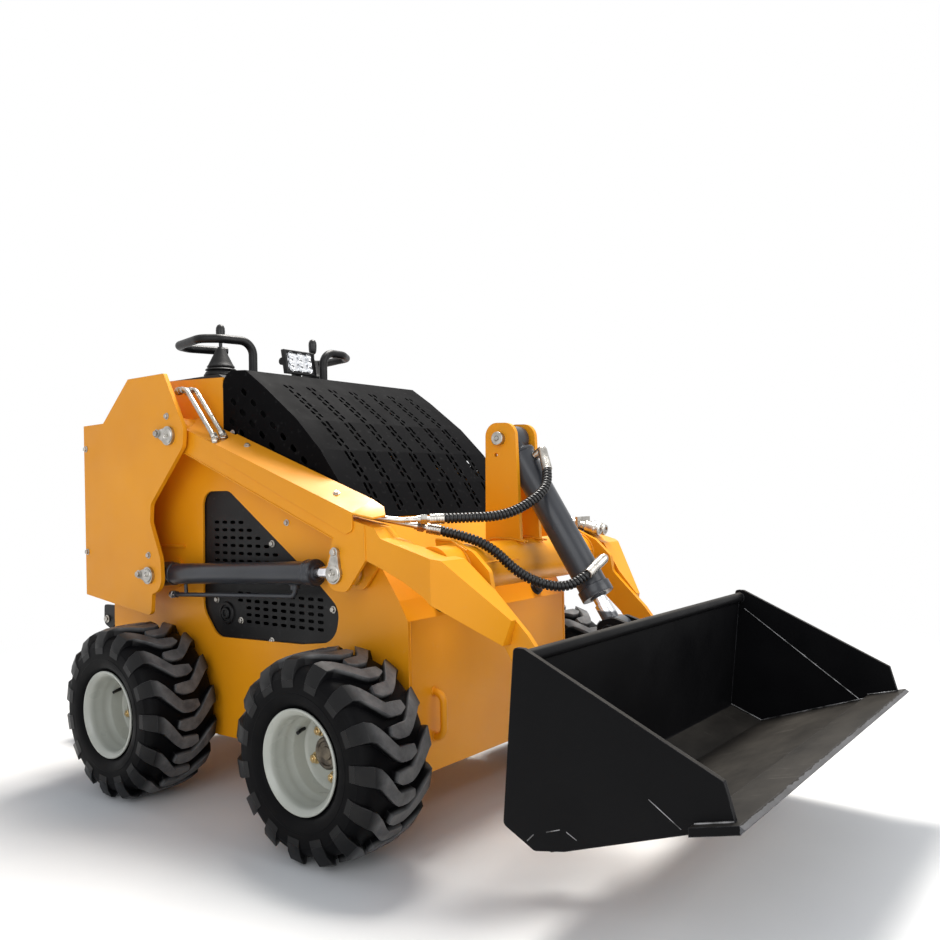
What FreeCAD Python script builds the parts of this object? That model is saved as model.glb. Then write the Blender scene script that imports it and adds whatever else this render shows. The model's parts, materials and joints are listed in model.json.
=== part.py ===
import FreeCAD, Part
import math
import os

V = FreeCAD.Vector

# Frame: X forward, Y left, Z up, millimetres; X = 0 half way between the axles until the last step

# Wheels
WHEELBASE = 759.0
TRACK_HALF = 459.0
TYRE_R = 232.5
TYRE_W = 213.0
WHEEL_GAP = 13.0
LUG_H = 15.0
LUG_N = 15
LUG_TOP_R = TYRE_R - 4.9
LUG_PHASE = 8.6
LUG_LEAN = 30.0
FACETS = 30
RIM_FLANGE_R = 116.6
BEAD_H = 14.0
RIM_BARREL_R = RIM_FLANGE_R - 16.6
RIM_W = 190.0
RIM_T = 5.0
DISC_INSET = 105.0
HUB_R = 58.0
HUB_PILOT_R = 38.0
AXLE_OUT = 4.0
NUT_N = 5
NUT_CIRCLE_R = 57.0
NUT_TURN = 131.5
NUT_R = 9.5

# Chassis
SIDE_Y = TRACK_HALF - TYRE_W / 2 - WHEEL_GAP
PLATE_T = 8.0
NOSE_X = 511.0
BELLY_Z = 160.0
NOSE_TOP_Z = 520.6
BEVEL = (484.0, 566.7)
HOOD_FOOT = (350.0, 756.0)
REAR_X = -700.0
TOWER_TOP_Z = 1140.0
REAR_TOP_Z = TOWER_TOP_Z - 110.0
HOOD_REAR_X = -150.0
HOOD_T = 3.0
CLEAR = 6.0
FIT = 0.3
WINDOW = [(-246, 829, 40), (-130, 829, 45), (219, 592, 60), (290, 535, 45), (275, 452, 60), (150, 437, 40),
          (-190, 428, 60), (-250, 500, 60)]
GUARD = [(-262, 845), (-110, 845), (240, 610), (318, 540), (300, 430), (160, 420), (-205, 410), (-268, 490)]
GUARD_T = 3.0
PLUG = (-155.0, 495.0)
PLUG_R = 24.0

# Slots in the sheets: length, width, step along, step across
HOOD_SLOT = (24.0, 9.0, 38.0, 15.0)
HOOD_ROWS = 7
HOOD_ROW_STEP = 82.0
GUARD_SLOT = (22.0, 9.0, 34.7, 37.0)

# Towers
TOWER_Y = SIDE_Y + 92.5
TOWER_T = 12.0
PIVOT = (-265.0, 982.0)
PIVOT_PIN_R = 20.0
BASE_PIN = (-367.0, 597.0)
BASE_PIN_R = 15.0
KEEPER_T = 8.0

# Boom arms
ARM_OUT_Y = SIDE_Y + 72.5
ARM_IN_Y = SIDE_Y + CLEAR + 1.0
ARM_PLATE_T = 8.0
ARM_HUB_R = 50.0
ARM_FALL = 0.361
ROOF_SLOPE = 0.43
GABLE_X = 330.0
ROD_PIN = (352.0, 630.0)
ROD_PIN_R = 15.0
COVER_T = 4.0
HAND_Y = SIDE_Y - 57.5
HAND_T = 14.0
HINGE = (862.0, 285.0)
HINGE_PIN_R = 16.0
HINGE_LUG_R = 40.0
CROSS = (595.0, 640.0)
CROSS_R = 55.0
CROSS_WALL = 8.0
EAR_Y = 49.0
EAR_T = 12.0
EAR_PIN = (571.0, 946.5)
EAR_PIN_R = 15.0
EAR_W = 90.0

# Cylinders
LIFT_Y = (ARM_IN_Y + ARM_OUT_Y) / 2
LIFT_BARREL_R = 28.5
LIFT_GLAND = 622.0
LIFT_ROD_R = 15.0
LIFT_EYE_R = 34.0
LIFT_EYE_W = 40.0
LIFT_FOOT = 42.0
LIFT_STEM = 40.0
LIFT_TAIL = 50.0
TILT_BARREL_R = 36.5
TILT_GLAND = 455.0
TILT_ROD_R = 16.0
TILT_EYE_R = 32.0
TILT_EYE_W = 46.0
TILT_FOOT = 44.0
TILT_STEM = 68.0
TILT_TAIL = 36.0
TILT_EYE = (862.0, 487.0)
BORE_FOOT = 12.0

# Bucket and hitch
BUCKET_Y = TRACK_HALF + 84.0
BUCKET_PLATE_T = 10.0
EDGE_Y = BUCKET_Y + 16.0
EDGE_T = 15.0
EDGE_X = 1282.0
EDGE_RISE = 0.2536
HITCH_Y = HAND_Y + 48.0
HITCH_T = 12.0
HITCH_LUG_T = 12.0

# Controls on the console, heights above its top
CONSOLE_Z = TOWER_TOP_Z + 12.0
LOOP_R = 12.5
LOOP_H = 110.0
LOOP_BEND = 40.0
STICK = (-360.0, 186.0)
STICK_LINE = [(0, 0), (50, 0), (50, 24), (47, 29), (47, 35), (39, 38), (46, 42), (46, 47), (38, 51), (40, 63),
              (14, 107), (6, 109), (6, 133), (12, 137), (14, 159), (13, 171), (8, 178), (0, 180.5)]
LAMP_X = -215.0
LAMP_Y = 8.0
LAMP_W = 120.0

# Hydraulic lines
LINE_DROP = 58.0
LINE_PORT = 542.0
TUBE_R = 6.5
HOSE_R = 10.0
TUBE_UPPER = [(385, 18 - ARM_OUT_Y, 774), (440, 32 - ARM_OUT_Y, 761), (500, 67 - ARM_OUT_Y, 753),
              (549, 112 - ARM_OUT_Y, 754)]
TUBE_LOWER = [(385, 38 - ARM_OUT_Y, 772), (435, 54 - ARM_OUT_Y, 758), (490, 90 - ARM_OUT_Y, 744),
              (533, 120 - ARM_OUT_Y, 733)]
HOSE_UPPER = [(668, -170, 757), (703, -100, 792)]
HOSE_LOWER = [(655, -212, 690), (705, -170, 622), (765, -120, 590)]
PORT_H = 62.0
PORT_UPPER = 76.0
PORT_LOWER = 388.0
NUT_UPPER = (0.45, -0.35, -0.82)
NUT_LOWER = (-0.25, -0.8, -0.55)
NUT_L = 28.0
HOSE_LEAD = 70.0


def outline(points, y=0.0):
    """Closed wire in the plane Y = y. A point is (x, z) or (x, z, corner radius)."""
    n = len(points)
    parts = []
    for i, p in enumerate(points):
        here = V(p[0], y, p[1])
        r = p[2] if len(p) > 2 else 0.0
        if r <= 0:
            parts.append((here, None, here))
            continue
        a = points[i - 1]
        b = points[(i + 1) % n]
        to_a = V(a[0] - p[0], 0, a[1] - p[1]).normalize()
        to_b = V(b[0] - p[0], 0, b[1] - p[1]).normalize()
        half = math.acos(max(-1.0, min(1.0, to_a.dot(to_b)))) / 2
        back = r / math.tan(half)
        bis = (to_a + to_b).normalize()
        mid = here + bis * (r / math.sin(half) - r)
        parts.append((here + to_a * back, mid, here + to_b * back))
    edges = []
    for i, (start, mid, end) in enumerate(parts):
        if mid is not None:
            edges.append(Part.Arc(start, mid, end).toShape())
        nxt = parts[(i + 1) % n][0]
        if (nxt - end).Length > 1e-6:
            edges.append(Part.LineSegment(end, nxt).toShape())
    return Part.Wire(edges)


def slab(points, y0, y1):
    """Plate with the given XZ outline between two Y planes."""
    return Part.Face(outline(points, y0)).extrude(V(0, y1 - y0, 0))


def plan_slab(points, z0, z1):
    """Prism with a given XY outline between two heights."""
    wire = Part.makePolygon([V(x, y, z0) for x, y in points] + [V(points[0][0], points[0][1], z0)])
    return Part.Face(wire).extrude(V(0, 0, z1 - z0))


def ypin(xz, r, y0, y1):
    """Round bar along Y."""
    return Part.makeCylinder(r, abs(y1 - y0), V(xz[0], min(y0, y1), xz[1]), V(0, 1, 0))


def rod(a, b, r):
    """Round bar between two points."""
    return Part.makeCylinder(r, (b - a).Length, a, b - a)


def box(x0, x1, y0, y1, z0, z1):
    return Part.makeBox(x1 - x0, y1 - y0, z1 - z0, V(x0, y0, z0))


def strip(points, t, y0, y1):
    """Sheet of thickness t on the right-hand side of an open XZ line, between two Y planes."""
    shifted = []
    n = len(points)
    for i in range(n):
        p = V(points[i][0], 0, points[i][1])
        dirs = []
        if i > 0:
            q = points[i - 1]
            dirs.append(V(p.x - q[0], 0, p.z - q[1]).normalize())
        if i < n - 1:
            q = points[i + 1]
            dirs.append(V(q[0] - p.x, 0, q[1] - p.z).normalize())
        normals = [V(d.z, 0, -d.x) for d in dirs]
        if len(normals) == 1:
            off = normals[0] * t
        else:
            bis = (normals[0] + normals[1]).normalize()
            off = bis * (t / bis.dot(normals[0]))
        shifted.append((p.x + off.x, p.z + off.z))
    return slab(list(points) + shifted[::-1], y0, y1)


def path(points, radius):
    """Wire of straight runs joined by tangent arcs. radius None takes the largest arcs that fit."""
    pts = [V(*p) for p in points]
    edges = []
    here = pts[0]
    radii = []
    for i in range(1, len(pts) - 1):
        a, b, c = pts[i - 1], pts[i], pts[i + 1]
        to_a = (a - b).normalize()
        to_c = (c - b).normalize()
        half = math.acos(max(-1.0, min(1.0, to_a.dot(to_c)))) / 2
        turn = math.pi - 2 * half
        if radius is None:
            r = 0.45 * min((a - b).Length, (c - b).Length) / math.tan(turn / 2)
        else:
            r = radius
        radii.append(r)
        back = r * math.tan(turn / 2)
        start = b + to_a * back
        end = b + to_c * back
        mid = b + (to_a + to_c).normalize() * (r / math.cos(turn / 2) - r)
        edges.append(Part.LineSegment(here, start).toShape())
        edges.append(Part.Arc(start, mid, end).toShape())
        here = end
    edges.append(Part.LineSegment(here, pts[-1]).toShape())
    return Part.Wire(edges), radii


def bar(points, r, radius):
    """Round bar or hose along a path."""
    wire, radii = path(points, radius)
    start = V(*points[0])
    ahead = (V(*points[1]) - start).normalize()
    section = Part.Wire([Part.makeCircle(r, start, ahead)])
    sweep = wire.makePipeShell([section], True, False)
    return sweep, radii, wire.Length


def faceted_ring(line, n, turn):
    """Ring of flat facets about the Y axis from a closed (y, r) line, its corners on the given radii."""
    rings = []
    for k in range(n):
        a = math.radians(turn + 360.0 * k / n)
        rings.append([V(r * math.cos(a), y, r * math.sin(a)) for y, r in line])
    faces = []
    for k in range(n):
        here, there = rings[k], rings[(k + 1) % n]
        for i in range(len(line)):
            j = (i + 1) % len(line)
            faces.append(Part.Face(Part.makePolygon([here[i], here[j], there[j], there[i], here[i]])))
    return Part.Solid(Part.Shell(faces))


def mirrored(shape):
    return shape.mirror(V(0, 0, 0), V(0, 1, 0))


def pair(shape):
    """The shape on the right side and its mirror image on the left."""
    return Part.makeCompound([shape, mirrored(shape)])


def fused(shapes):
    out = shapes[0].fuse(shapes[1:]) if len(shapes) > 1 else shapes[0]
    return out.removeSplitter()


# Body lines that several pieces share
def hood_line():
    return [(HOOD_REAR_X, TOWER_TOP_Z - 3), (HOOD_REAR_X + 40, TOWER_TOP_Z + 12), (HOOD_REAR_X + 95, TOWER_TOP_Z + 8),
            (20, 1098), (143, 1006), (228, 925), (293, 843), HOOD_FOOT]


def slots(origin, along, across, depth, size, places):
    """Slot cutters: places are (distance along, distance across) from the origin."""
    turn = FreeCAD.Rotation(along, across, along.cross(across), "XYZ")
    out = []
    for a, c in places:
        cutter = Part.makeBox(size[0], size[1], 2 * depth, V(-size[0] / 2, -size[1] / 2, -depth))
        cutter.Placement = FreeCAD.Placement(origin + along * a + across * c, turn)
        out.append(cutter)
    return out


def side_plate():
    line = [(REAR_X, 200, 30), (REAR_X + 40, BELLY_Z, 20), (NOSE_X, BELLY_Z), (NOSE_X, NOSE_TOP_Z), BEVEL,
            HOOD_FOOT, (HOOD_REAR_X, 930), (HOOD_REAR_X, TOWER_TOP_Z), (-463, TOWER_TOP_Z + 14, 20),
            (-595, REAR_TOP_Z + 5), (REAR_X, REAR_TOP_Z)]
    plate = slab(line, -SIDE_Y, -SIDE_Y + PLATE_T)
    return plate.cut(slab(WINDOW, -SIDE_Y - 1, -SIDE_Y + PLATE_T + 1))


def side_guard():
    """Perforated sheet behind the side window, with a round plug."""
    y0 = -SIDE_Y + PLATE_T + FIT
    sheet = slab(GUARD, y0, y0 + GUARD_T)
    places = []
    for row in range(9):
        for col in range(14):
            x = -205 + GUARD_SLOT[2] * col
            z = 478 + GUARD_SLOT[3] * row
            near_plug = math.hypot(x - PLUG[0], z - PLUG[1]) < PLUG_R + 30
            if -195 < x < 235 and z < 829 - 0.679 * (x + 130) - 35 and not near_plug:
                places.append((x, z))
    cutters = slots(V(0, y0, 0), V(1, 0, 0), V(0, 0, 1), 8, GUARD_SLOT, places)
    sheet = sheet.cut(Part.makeCompound(cutters))
    plug = ypin(PLUG, PLUG_R, y0 - 4, y0 + 1).cut(ypin(PLUG, PLUG_R - 9, y0 - 5, y0 - 1))
    return fused([sheet, plug])


def chassis():
    right = side_plate()
    inner = SIDE_Y - PLATE_T
    nose = strip([(NOSE_X, BELLY_Z), (NOSE_X, NOSE_TOP_Z), BEVEL, HOOD_FOOT][::-1], PLATE_T, -inner, inner)
    belly = box(REAR_X + 40, NOSE_X - PLATE_T, -inner, inner, BELLY_Z, BELLY_Z + PLATE_T)
    rear = box(REAR_X, REAR_X + PLATE_T, -inner, inner, 200, REAR_TOP_Z)
    axles = []
    for x in (-WHEELBASE / 2, WHEELBASE / 2):
        tube = ypin((x, TYRE_R), HUB_R - 8, -SIDE_Y - AXLE_OUT, SIDE_Y + AXLE_OUT)
        axles.append(tube)
    out = fused([right, mirrored(right), nose, belly, rear] + axles)
    return out.cut(ypin(PIVOT, PIVOT_PIN_R + FIT, -SIDE_Y - 1, SIDE_Y + 1))


def tower():
    """Right tower: outer plate with rounded lobes, pin boss, closing plate and shelf."""
    lobe_x = BASE_PIN[0] + 52
    line = [(REAR_X - 3, REAR_TOP_Z + 3), (-595, REAR_TOP_Z + 5), (-463, TOWER_TOP_Z + 14), (-289, TOWER_TOP_Z + 15),
            (PIVOT[0] + 65, 1000, 30), (PIVOT[0] + 60, 950, 25), (-358, 795, 30), (-361, 745, 20), (lobe_x, 645, 30),
            (lobe_x + 6, 560, 45), (-356, 545, 10), (-362, 484, 16), (REAR_X + 3, 526)]
    plate = slab(line, -TOWER_Y, -TOWER_Y + TOWER_T)
    gap_out = -TOWER_Y + TOWER_T
    back = box(REAR_X, REAR_X + PLATE_T, gap_out, -SIDE_Y, 530, REAR_TOP_Z)
    ledge = box(-520, -440, gap_out, -SIDE_Y, 668, 676)
    rib = slab([(-520, 690), (-512, 690), (-452, 1000), (-460, 1000)], gap_out, -SIDE_Y)
    boss = ypin(PIVOT, 46, gap_out, gap_out + 4)
    foot = ypin(BASE_PIN, 40, gap_out, gap_out + 8)
    foot_in = ypin(BASE_PIN, 40, -SIDE_Y - 8, -SIDE_Y)
    out = fused([plate, back, ledge, rib, boss, foot, foot_in])
    return out.cut(ypin(PIVOT, PIVOT_PIN_R + FIT, -TOWER_Y - 1, 0)).cut(
        ypin(BASE_PIN, BASE_PIN_R + FIT, -TOWER_Y - 1, 0))


def keeper(xz, r, y, up):
    """Pin head plate with its bolt ear, lying on the face at y."""
    y = y - FIT
    ear = (xz[0] + up[0], xz[1] + up[1])
    dx, dz = up
    length = math.hypot(dx, dz)
    nx, nz = -dz / length, dx / length
    body = slab([(xz[0] + nx * r, xz[1] + nz * r), (ear[0] + nx * 9, ear[1] + nz * 9),
                 (ear[0] - nx * 9, ear[1] - nz * 9), (xz[0] - nx * r, xz[1] - nz * r)], y - KEEPER_T, y)
    return fused([body, ypin(xz, r + 2, y - KEEPER_T, y), ypin(ear, 10, y - KEEPER_T, y)])


def arm_rise(x, low):
    """Height of the arm's lower or upper edge above a point on X."""
    return 874 - 0.39 * (x + 71) if low else 981 - ARM_FALL * (x + 83)


def arm_top(x):
    """Height of the arm box under its cover."""
    return arm_rise(x, False) - COVER_T - FIT


def roof(stations, y_in, y_out, t):
    """Right-hand sheet whose outer edge lies lower than its inner edge. A station is (x, inner z, outer z)."""
    rings = []
    for x, z_in, z_out in stations:
        ring = [V(x, -y_in, z_in), V(x, -y_out, z_out), V(x, -y_out, z_out - t), V(x, -y_in, z_in - t)]
        rings.append(Part.makePolygon(ring + [ring[0]]))
    return Part.makeLoft(rings, True, True)


def arm():
    """Right arm: hub, tapered box, rod bracket, front knuckle and hand plate."""
    rear_x = PIVOT[0] + 20
    top = arm_top(rear_x)
    gable = arm_top(GABLE_X)
    fall = ROOF_SLOPE * (ARM_OUT_Y - ARM_IN_Y)
    step = ROOF_SLOPE * ARM_PLATE_T
    below = [(rear_x, arm_rise(rear_x, True)), (345, arm_rise(345, True)), (322, 640, 20), (325, 590, 35),
             (388, 588, 25), (450, 664), (548, 628), (640, 590), (640, 664), (497, 713.5), (475, 738),
             (372, 764), (GABLE_X, gable - fall)]
    outer = slab(below + [(rear_x, top - fall)], -ARM_OUT_Y, -ARM_OUT_Y + ARM_PLATE_T)
    inner = slab(below + [(GABLE_X, gable - step), (rear_x, top - step)], -ARM_IN_Y - ARM_PLATE_T, -ARM_IN_Y)
    lid = roof([(rear_x, top, top - fall), (GABLE_X, gable, gable - fall)], ARM_IN_Y, ARM_OUT_Y, 8)
    front_lid = slab([(GABLE_X, gable - fall), (GABLE_X, gable - fall - 8), (372, 756), (470, 731),
                      (470, 739), (372, 764)], -ARM_OUT_Y, -ARM_IN_Y)
    floor = slab([(rear_x, arm_rise(rear_x, True)), (rear_x, arm_rise(rear_x, True) + 8),
                  (420, arm_rise(420, True) + 8), (420, arm_rise(420, True))], -ARM_OUT_Y, -ARM_IN_Y)
    hub = ypin(PIVOT, ARM_HUB_R, -ARM_OUT_Y - 2, -ARM_IN_Y)
    plan = plan_slab([(445, -ARM_OUT_Y), (640, -ARM_OUT_Y), (775, -HAND_Y - 14), (775, -HAND_Y), (720, -HAND_Y),
                      (590, -ARM_IN_Y), (445, -ARM_IN_Y)], 400, 800)
    stub = ypin(CROSS, CROSS_R, -ARM_IN_Y - 4, -HAND_Y + 2)
    side = slab([(445, 668), (560, 622), (617, 592), (756, 483), (771, 537), (658, 668), (497, 713.5), (475, 738),
                 (445, 745)], -ARM_OUT_Y, -HAND_Y)
    knuckle = plan.common(side)
    hand_line = [(548, 706), (596, 706, 14), (656, 680, 25), (701, 638, 22), (708, 596, 15), (800, 506),
                 (HINGE[0] + 6, 420, 60),
                 (HINGE[0] + HINGE_LUG_R, HINGE[1], 38), (HINGE[0] + 20, HINGE[1] - HINGE_LUG_R, 25),
                 (HINGE[0] - HINGE_LUG_R, HINGE[1] - HINGE_LUG_R, 36), (HINGE[0] - HINGE_LUG_R - 15, 370, 60),
                 (730, 490), (617, 592), (560, 622)]
    hand = slab(hand_line, -HAND_Y, -HAND_Y + HAND_T)
    out = fused([outer, inner, lid, front_lid, floor, hub, knuckle, stub, hand])
    out = out.cut(ypin(PIVOT, PIVOT_PIN_R + FIT, -TOWER_Y, 0))
    out = out.cut(ypin(HINGE, HINGE_PIN_R + FIT, -TOWER_Y, 0))
    return out


def arm_cover():
    """Folded sheet over the arm's upper edge with an outer flange."""
    x0, x1 = -83.0, 414.0
    z0, z1 = arm_rise(x0, False), arm_rise(x1, False)
    y_out = ARM_OUT_Y + COVER_T
    fall = ROOF_SLOPE * (y_out - ARM_IN_Y)
    top = roof([(x0, z0, z0 - fall), (x1, z1, z1 - fall), (478, 769, 761)], ARM_IN_Y, y_out, COVER_T)
    corner = plan_slab([(448, 1 - ARM_IN_Y), (490, 1 - ARM_IN_Y), (490, -38 - ARM_IN_Y)], z1 - 60, z1)
    flange = slab([(x0, z0 - fall), (x1, z1 - fall), (x1, 730, 14), (390, 722, 10), (x0, 918)], -y_out,
                  -ARM_OUT_Y - FIT)
    return fused([top.cut(corner), flange])


def cross_member():
    """Round tube between the arms with the two tilt cylinder ears."""
    inner = HAND_Y - HAND_T
    tube = ypin(CROSS, CROSS_R, -inner, inner)
    ears = []
    x0 = EAR_PIN[0] - EAR_W / 2
    for y in (-EAR_Y, EAR_Y - EAR_T):
        line = [(x0 - 6, CROSS[1] + 20), (x0 + EAR_W + 12, CROSS[1] + 20), (x0 + EAR_W, EAR_PIN[1] + 38, 34),
                (x0, EAR_PIN[1] + 42, 34)]
        ears.append(slab(line, y, y + EAR_T))
    hollow = ypin(CROSS, CROSS_R - CROSS_WALL, -inner - 1, inner + 1)
    out = fused([tube] + ears).cut(hollow)
    out = out.cut(ypin((EAR_PIN[0] - 14, EAR_PIN[1] - 40), 5, -100, 100))
    return out.cut(ypin(EAR_PIN, EAR_PIN_R + FIT, -100, 100))


def along(a, b, d):
    n = math.hypot(b[0] - a[0], b[1] - a[1])
    return (a[0] + (b[0] - a[0]) * d / n, a[1] + (b[1] - a[1]) * d / n)


def barrel(base, eye, y, gland, r, r_rod, r_eye, w_eye, pin_r, foot):
    """Cylinder barrel with base eye, gland nut and the bore for its rod."""
    def at(d):
        p = along(base, eye, d)
        return V(p[0], y, p[1])

    body = rod(at(foot), at(gland - 24), r)
    nut = rod(at(gland - 24), at(gland), r + 4)
    neck = rod(at(0), at(foot + 1), r_eye * 0.7)
    lug = Part.makeCylinder(r_eye, w_eye, V(base[0], y - w_eye / 2, base[1]), V(0, 1, 0))
    out = fused([body, nut, neck, lug])
    out = out.cut(Part.makeCylinder(pin_r + FIT, w_eye + 40, V(base[0], y - w_eye / 2 - 20, base[1]), V(0, 1, 0)))
    return out.cut(rod(at(foot + BORE_FOOT), at(gland + 5), r_rod + FIT))


def lift_line(y):
    """Steel line under the lift barrel, from its base end to the port near the gland."""
    full = math.hypot(ROD_PIN[0] - BASE_PIN[0], ROD_PIN[1] - BASE_PIN[1])
    u = V((ROD_PIN[0] - BASE_PIN[0]) / full, 0, (ROD_PIN[1] - BASE_PIN[1]) / full)
    down = V(u.z, 0, -u.x)
    base = V(BASE_PIN[0], y, BASE_PIN[1])
    skin = LIFT_BARREL_R + FIT
    route = [base + u * 26 + down * LINE_DROP, base + u * LINE_PORT + down * LINE_DROP,
             base + u * LINE_PORT + down * (skin + 8)]
    tube = bar([tuple(p) for p in route], 6, 16)[0]
    port = rod(base + u * LINE_PORT + down * skin, base + u * LINE_PORT + down * (skin + 12), 11)
    nut = rod(base + u * 24 + down * LINE_DROP, base + u * 50 + down * LINE_DROP, 9)
    strap = rod(base + u * 92 + down * skin, base + u * 92 + down * LINE_DROP, 5)
    return fused([tube, port, nut, strap])


def port_knee(d):
    """Foot and knee of a port elbow at distance d along the tilt cylinder."""
    full = math.hypot(TILT_EYE[0] - EAR_PIN[0], TILT_EYE[1] - EAR_PIN[1])
    u = V((TILT_EYE[0] - EAR_PIN[0]) / full, 0, (TILT_EYE[1] - EAR_PIN[1]) / full)
    up = V(-u.z, 0, u.x)
    foot = V(EAR_PIN[0], 0, EAR_PIN[1]) + u * d
    return foot + up * (TILT_BARREL_R + FIT), foot + up * PORT_H


def hose_route(tube, middle, d, nut):
    """Hose points from the end of an arm tube to the nut of a port elbow."""
    end = V(*tube[-1])
    ahead = (end - V(*tube[-2])).normalize()
    knee = port_knee(d)[1]
    away = V(*nut).normalize()
    points = [end + ahead * FIT, end + ahead * HOSE_LEAD] + [V(*p) for p in middle]
    points += [knee + away * (NUT_L + HOSE_LEAD), knee + away * (NUT_L + FIT)]
    return [tuple(p) for p in points]


def tilt_fittings():
    """Port elbows of the tilt cylinder, which meet the hose ends."""
    out = []
    for d, nut in ((PORT_UPPER, NUT_UPPER), (PORT_LOWER, NUT_LOWER)):
        foot, knee = port_knee(d)
        away = V(*nut).normalize()
        out.append(fused([rod(foot, knee, 11), Part.makeSphere(11, knee), rod(knee, knee + away * NUT_L, 12)]))
    return Part.makeCompound(out)


def cylinder_rod(base, eye, y, foot, r_rod, r_eye, w_eye, stem, tail):
    """Chrome rod with its end eye and the pin stub that stays in the eye."""
    def at(d):
        p = along(base, eye, d)
        return V(p[0], y, p[1])

    full = math.hypot(eye[0] - base[0], eye[1] - base[1])
    shaft = rod(at(foot + BORE_FOOT + tail), at(full - stem), r_rod)
    end = rod(at(full - stem), at(full), r_rod * 1.25)
    lug = Part.makeCylinder(r_eye, w_eye, V(eye[0], y - w_eye / 2, eye[1]), V(0, 1, 0))
    return fused([shaft, end, lug])


def lug(side, turn):
    """One tread lug: its head past the middle, its arm running back to the shoulder."""
    w = TYRE_W / 2
    head = [(-20, 17), (22, 15), (34, -6), (22, -18), (-26, -13), (-w, 44), (-w, 78)]
    plan = [V(LUG_TOP_R - 40, -side * y, s - LUG_LEAN) for y, s in head]
    prism = Part.Face(Part.makePolygon(plan + [plan[0]])).extrude(V(40, 0, 0))
    shoulder = [(side * w, LUG_TOP_R - 45), (side * w, LUG_TOP_R - 24), (side * (w - 22), LUG_TOP_R),
                (-side * 60, LUG_TOP_R), (-side * 60, LUG_TOP_R - 45)]
    rim_line = [V(r, y, -90) for y, r in shoulder]
    block = prism.common(Part.Face(Part.makePolygon(rim_line + [rim_line[0]])).extrude(V(0, 0, 180)))
    block.rotate(V(0, 0, 0), V(0, 1, 0), -turn - math.degrees(LUG_LEAN / TYRE_R))
    return block


def tyre():
    """Lugged tyre at the origin, axis along Y, outer side toward -Y."""
    w = TYRE_W / 2
    tall = TYRE_R - RIM_FLANGE_R
    root = TYRE_R - LUG_H
    widen = 1 / math.cos(math.pi / FACETS)
    seat = (RIM_FLANGE_R - BEAD_H + FIT) * widen
    lip = (RIM_FLANGE_R + FIT) * widen
    bead = RIM_W / 2 - 3.6
    half = [(bead, seat), (bead, lip), (w - 1, RIM_FLANGE_R + 0.22 * tall), (w - 2, RIM_FLANGE_R + 0.55 * tall),
            (w - 16, root - 7), (w - 44, root)]
    ring = faceted_ring([(-y, r) for y, r in half] + half[::-1], FACETS, LUG_PHASE)
    lugs = []
    for i in range(LUG_N):
        turn = LUG_PHASE + 360.0 * i / LUG_N
        lugs.append(lug(-1, turn))
        lugs.append(lug(1, turn + 180.0 / LUG_N))
    return ring.fuse(lugs)


def rim():
    """Deep-dish rim at the origin, dish open toward -Y."""
    h = RIM_W / 2 + 6
    f = RIM_FLANGE_R - BEAD_H
    b = RIM_BARREL_R
    line = [(-h, RIM_FLANGE_R), (-h, RIM_FLANGE_R - 4), (-h + 8, f - RIM_T), (-40, f - RIM_T), (-30, b - RIM_T - 6),
            (40, b - RIM_T - 6), (50, f - RIM_T), (h - 8, f - RIM_T), (h, RIM_FLANGE_R - 4), (h, RIM_FLANGE_R),
            (h - 5, RIM_FLANGE_R), (h - 9, f), (50, f), (42, b - 6), (-32, b - 6), (-42, f), (-h + 9, f),
            (-h + 5, RIM_FLANGE_R)]
    wire = Part.makePolygon([V(r, y, 0) for y, r in line] + [V(line[0][1], line[0][0], 0)])
    barrel_part = Part.Face(wire).revolve(V(0, 0, 0), V(0, 1, 0), 360)
    y = -h + DISC_INSET
    disc = Part.makeCylinder(b - 8, RIM_T, V(0, y, 0), V(0, 1, 0))
    disc = disc.cut(Part.makeCylinder(HUB_PILOT_R, 40, V(0, y - 20, 0), V(0, 1, 0)))
    return fused([barrel_part, disc])


def wheel_nuts():
    h = RIM_W / 2 + 6
    y = -h + DISC_INSET
    out = []
    for i in range(NUT_N):
        a = math.radians(NUT_TURN + 360.0 * i / NUT_N)
        out.append(Part.makeCylinder(NUT_R, 14, V(NUT_CIRCLE_R * math.cos(a), y - 14, NUT_CIRCLE_R * math.sin(a)),
                                     V(0, 1, 0)))
    return out


def hub():
    """Drive hub with its pilot, on the inner side of the rim's disc."""
    h = RIM_W / 2 + 6
    y = -h + DISC_INSET + RIM_T
    flange = Part.makeCylinder(HUB_R + 4, 12, V(0, y, 0), V(0, 1, 0))
    pilot = Part.makeCylinder(HUB_PILOT_R - FIT, 30, V(0, y - 22, 0), V(0, 1, 0))
    gap = TRACK_HALF - SIDE_Y - AXLE_OUT - FIT
    stub = Part.makeCylinder(HUB_R - 12, gap - y, V(0, y, 0), V(0, 1, 0))
    return fused([flange, pilot, stub])


def at_wheel(shape, x, side):
    """Place a wheel piece: side -1 is the right of the machine."""
    s = shape if side < 0 else mirrored(shape)
    return s.translated(V(x, side * TRACK_HALF, TYRE_R))


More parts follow.
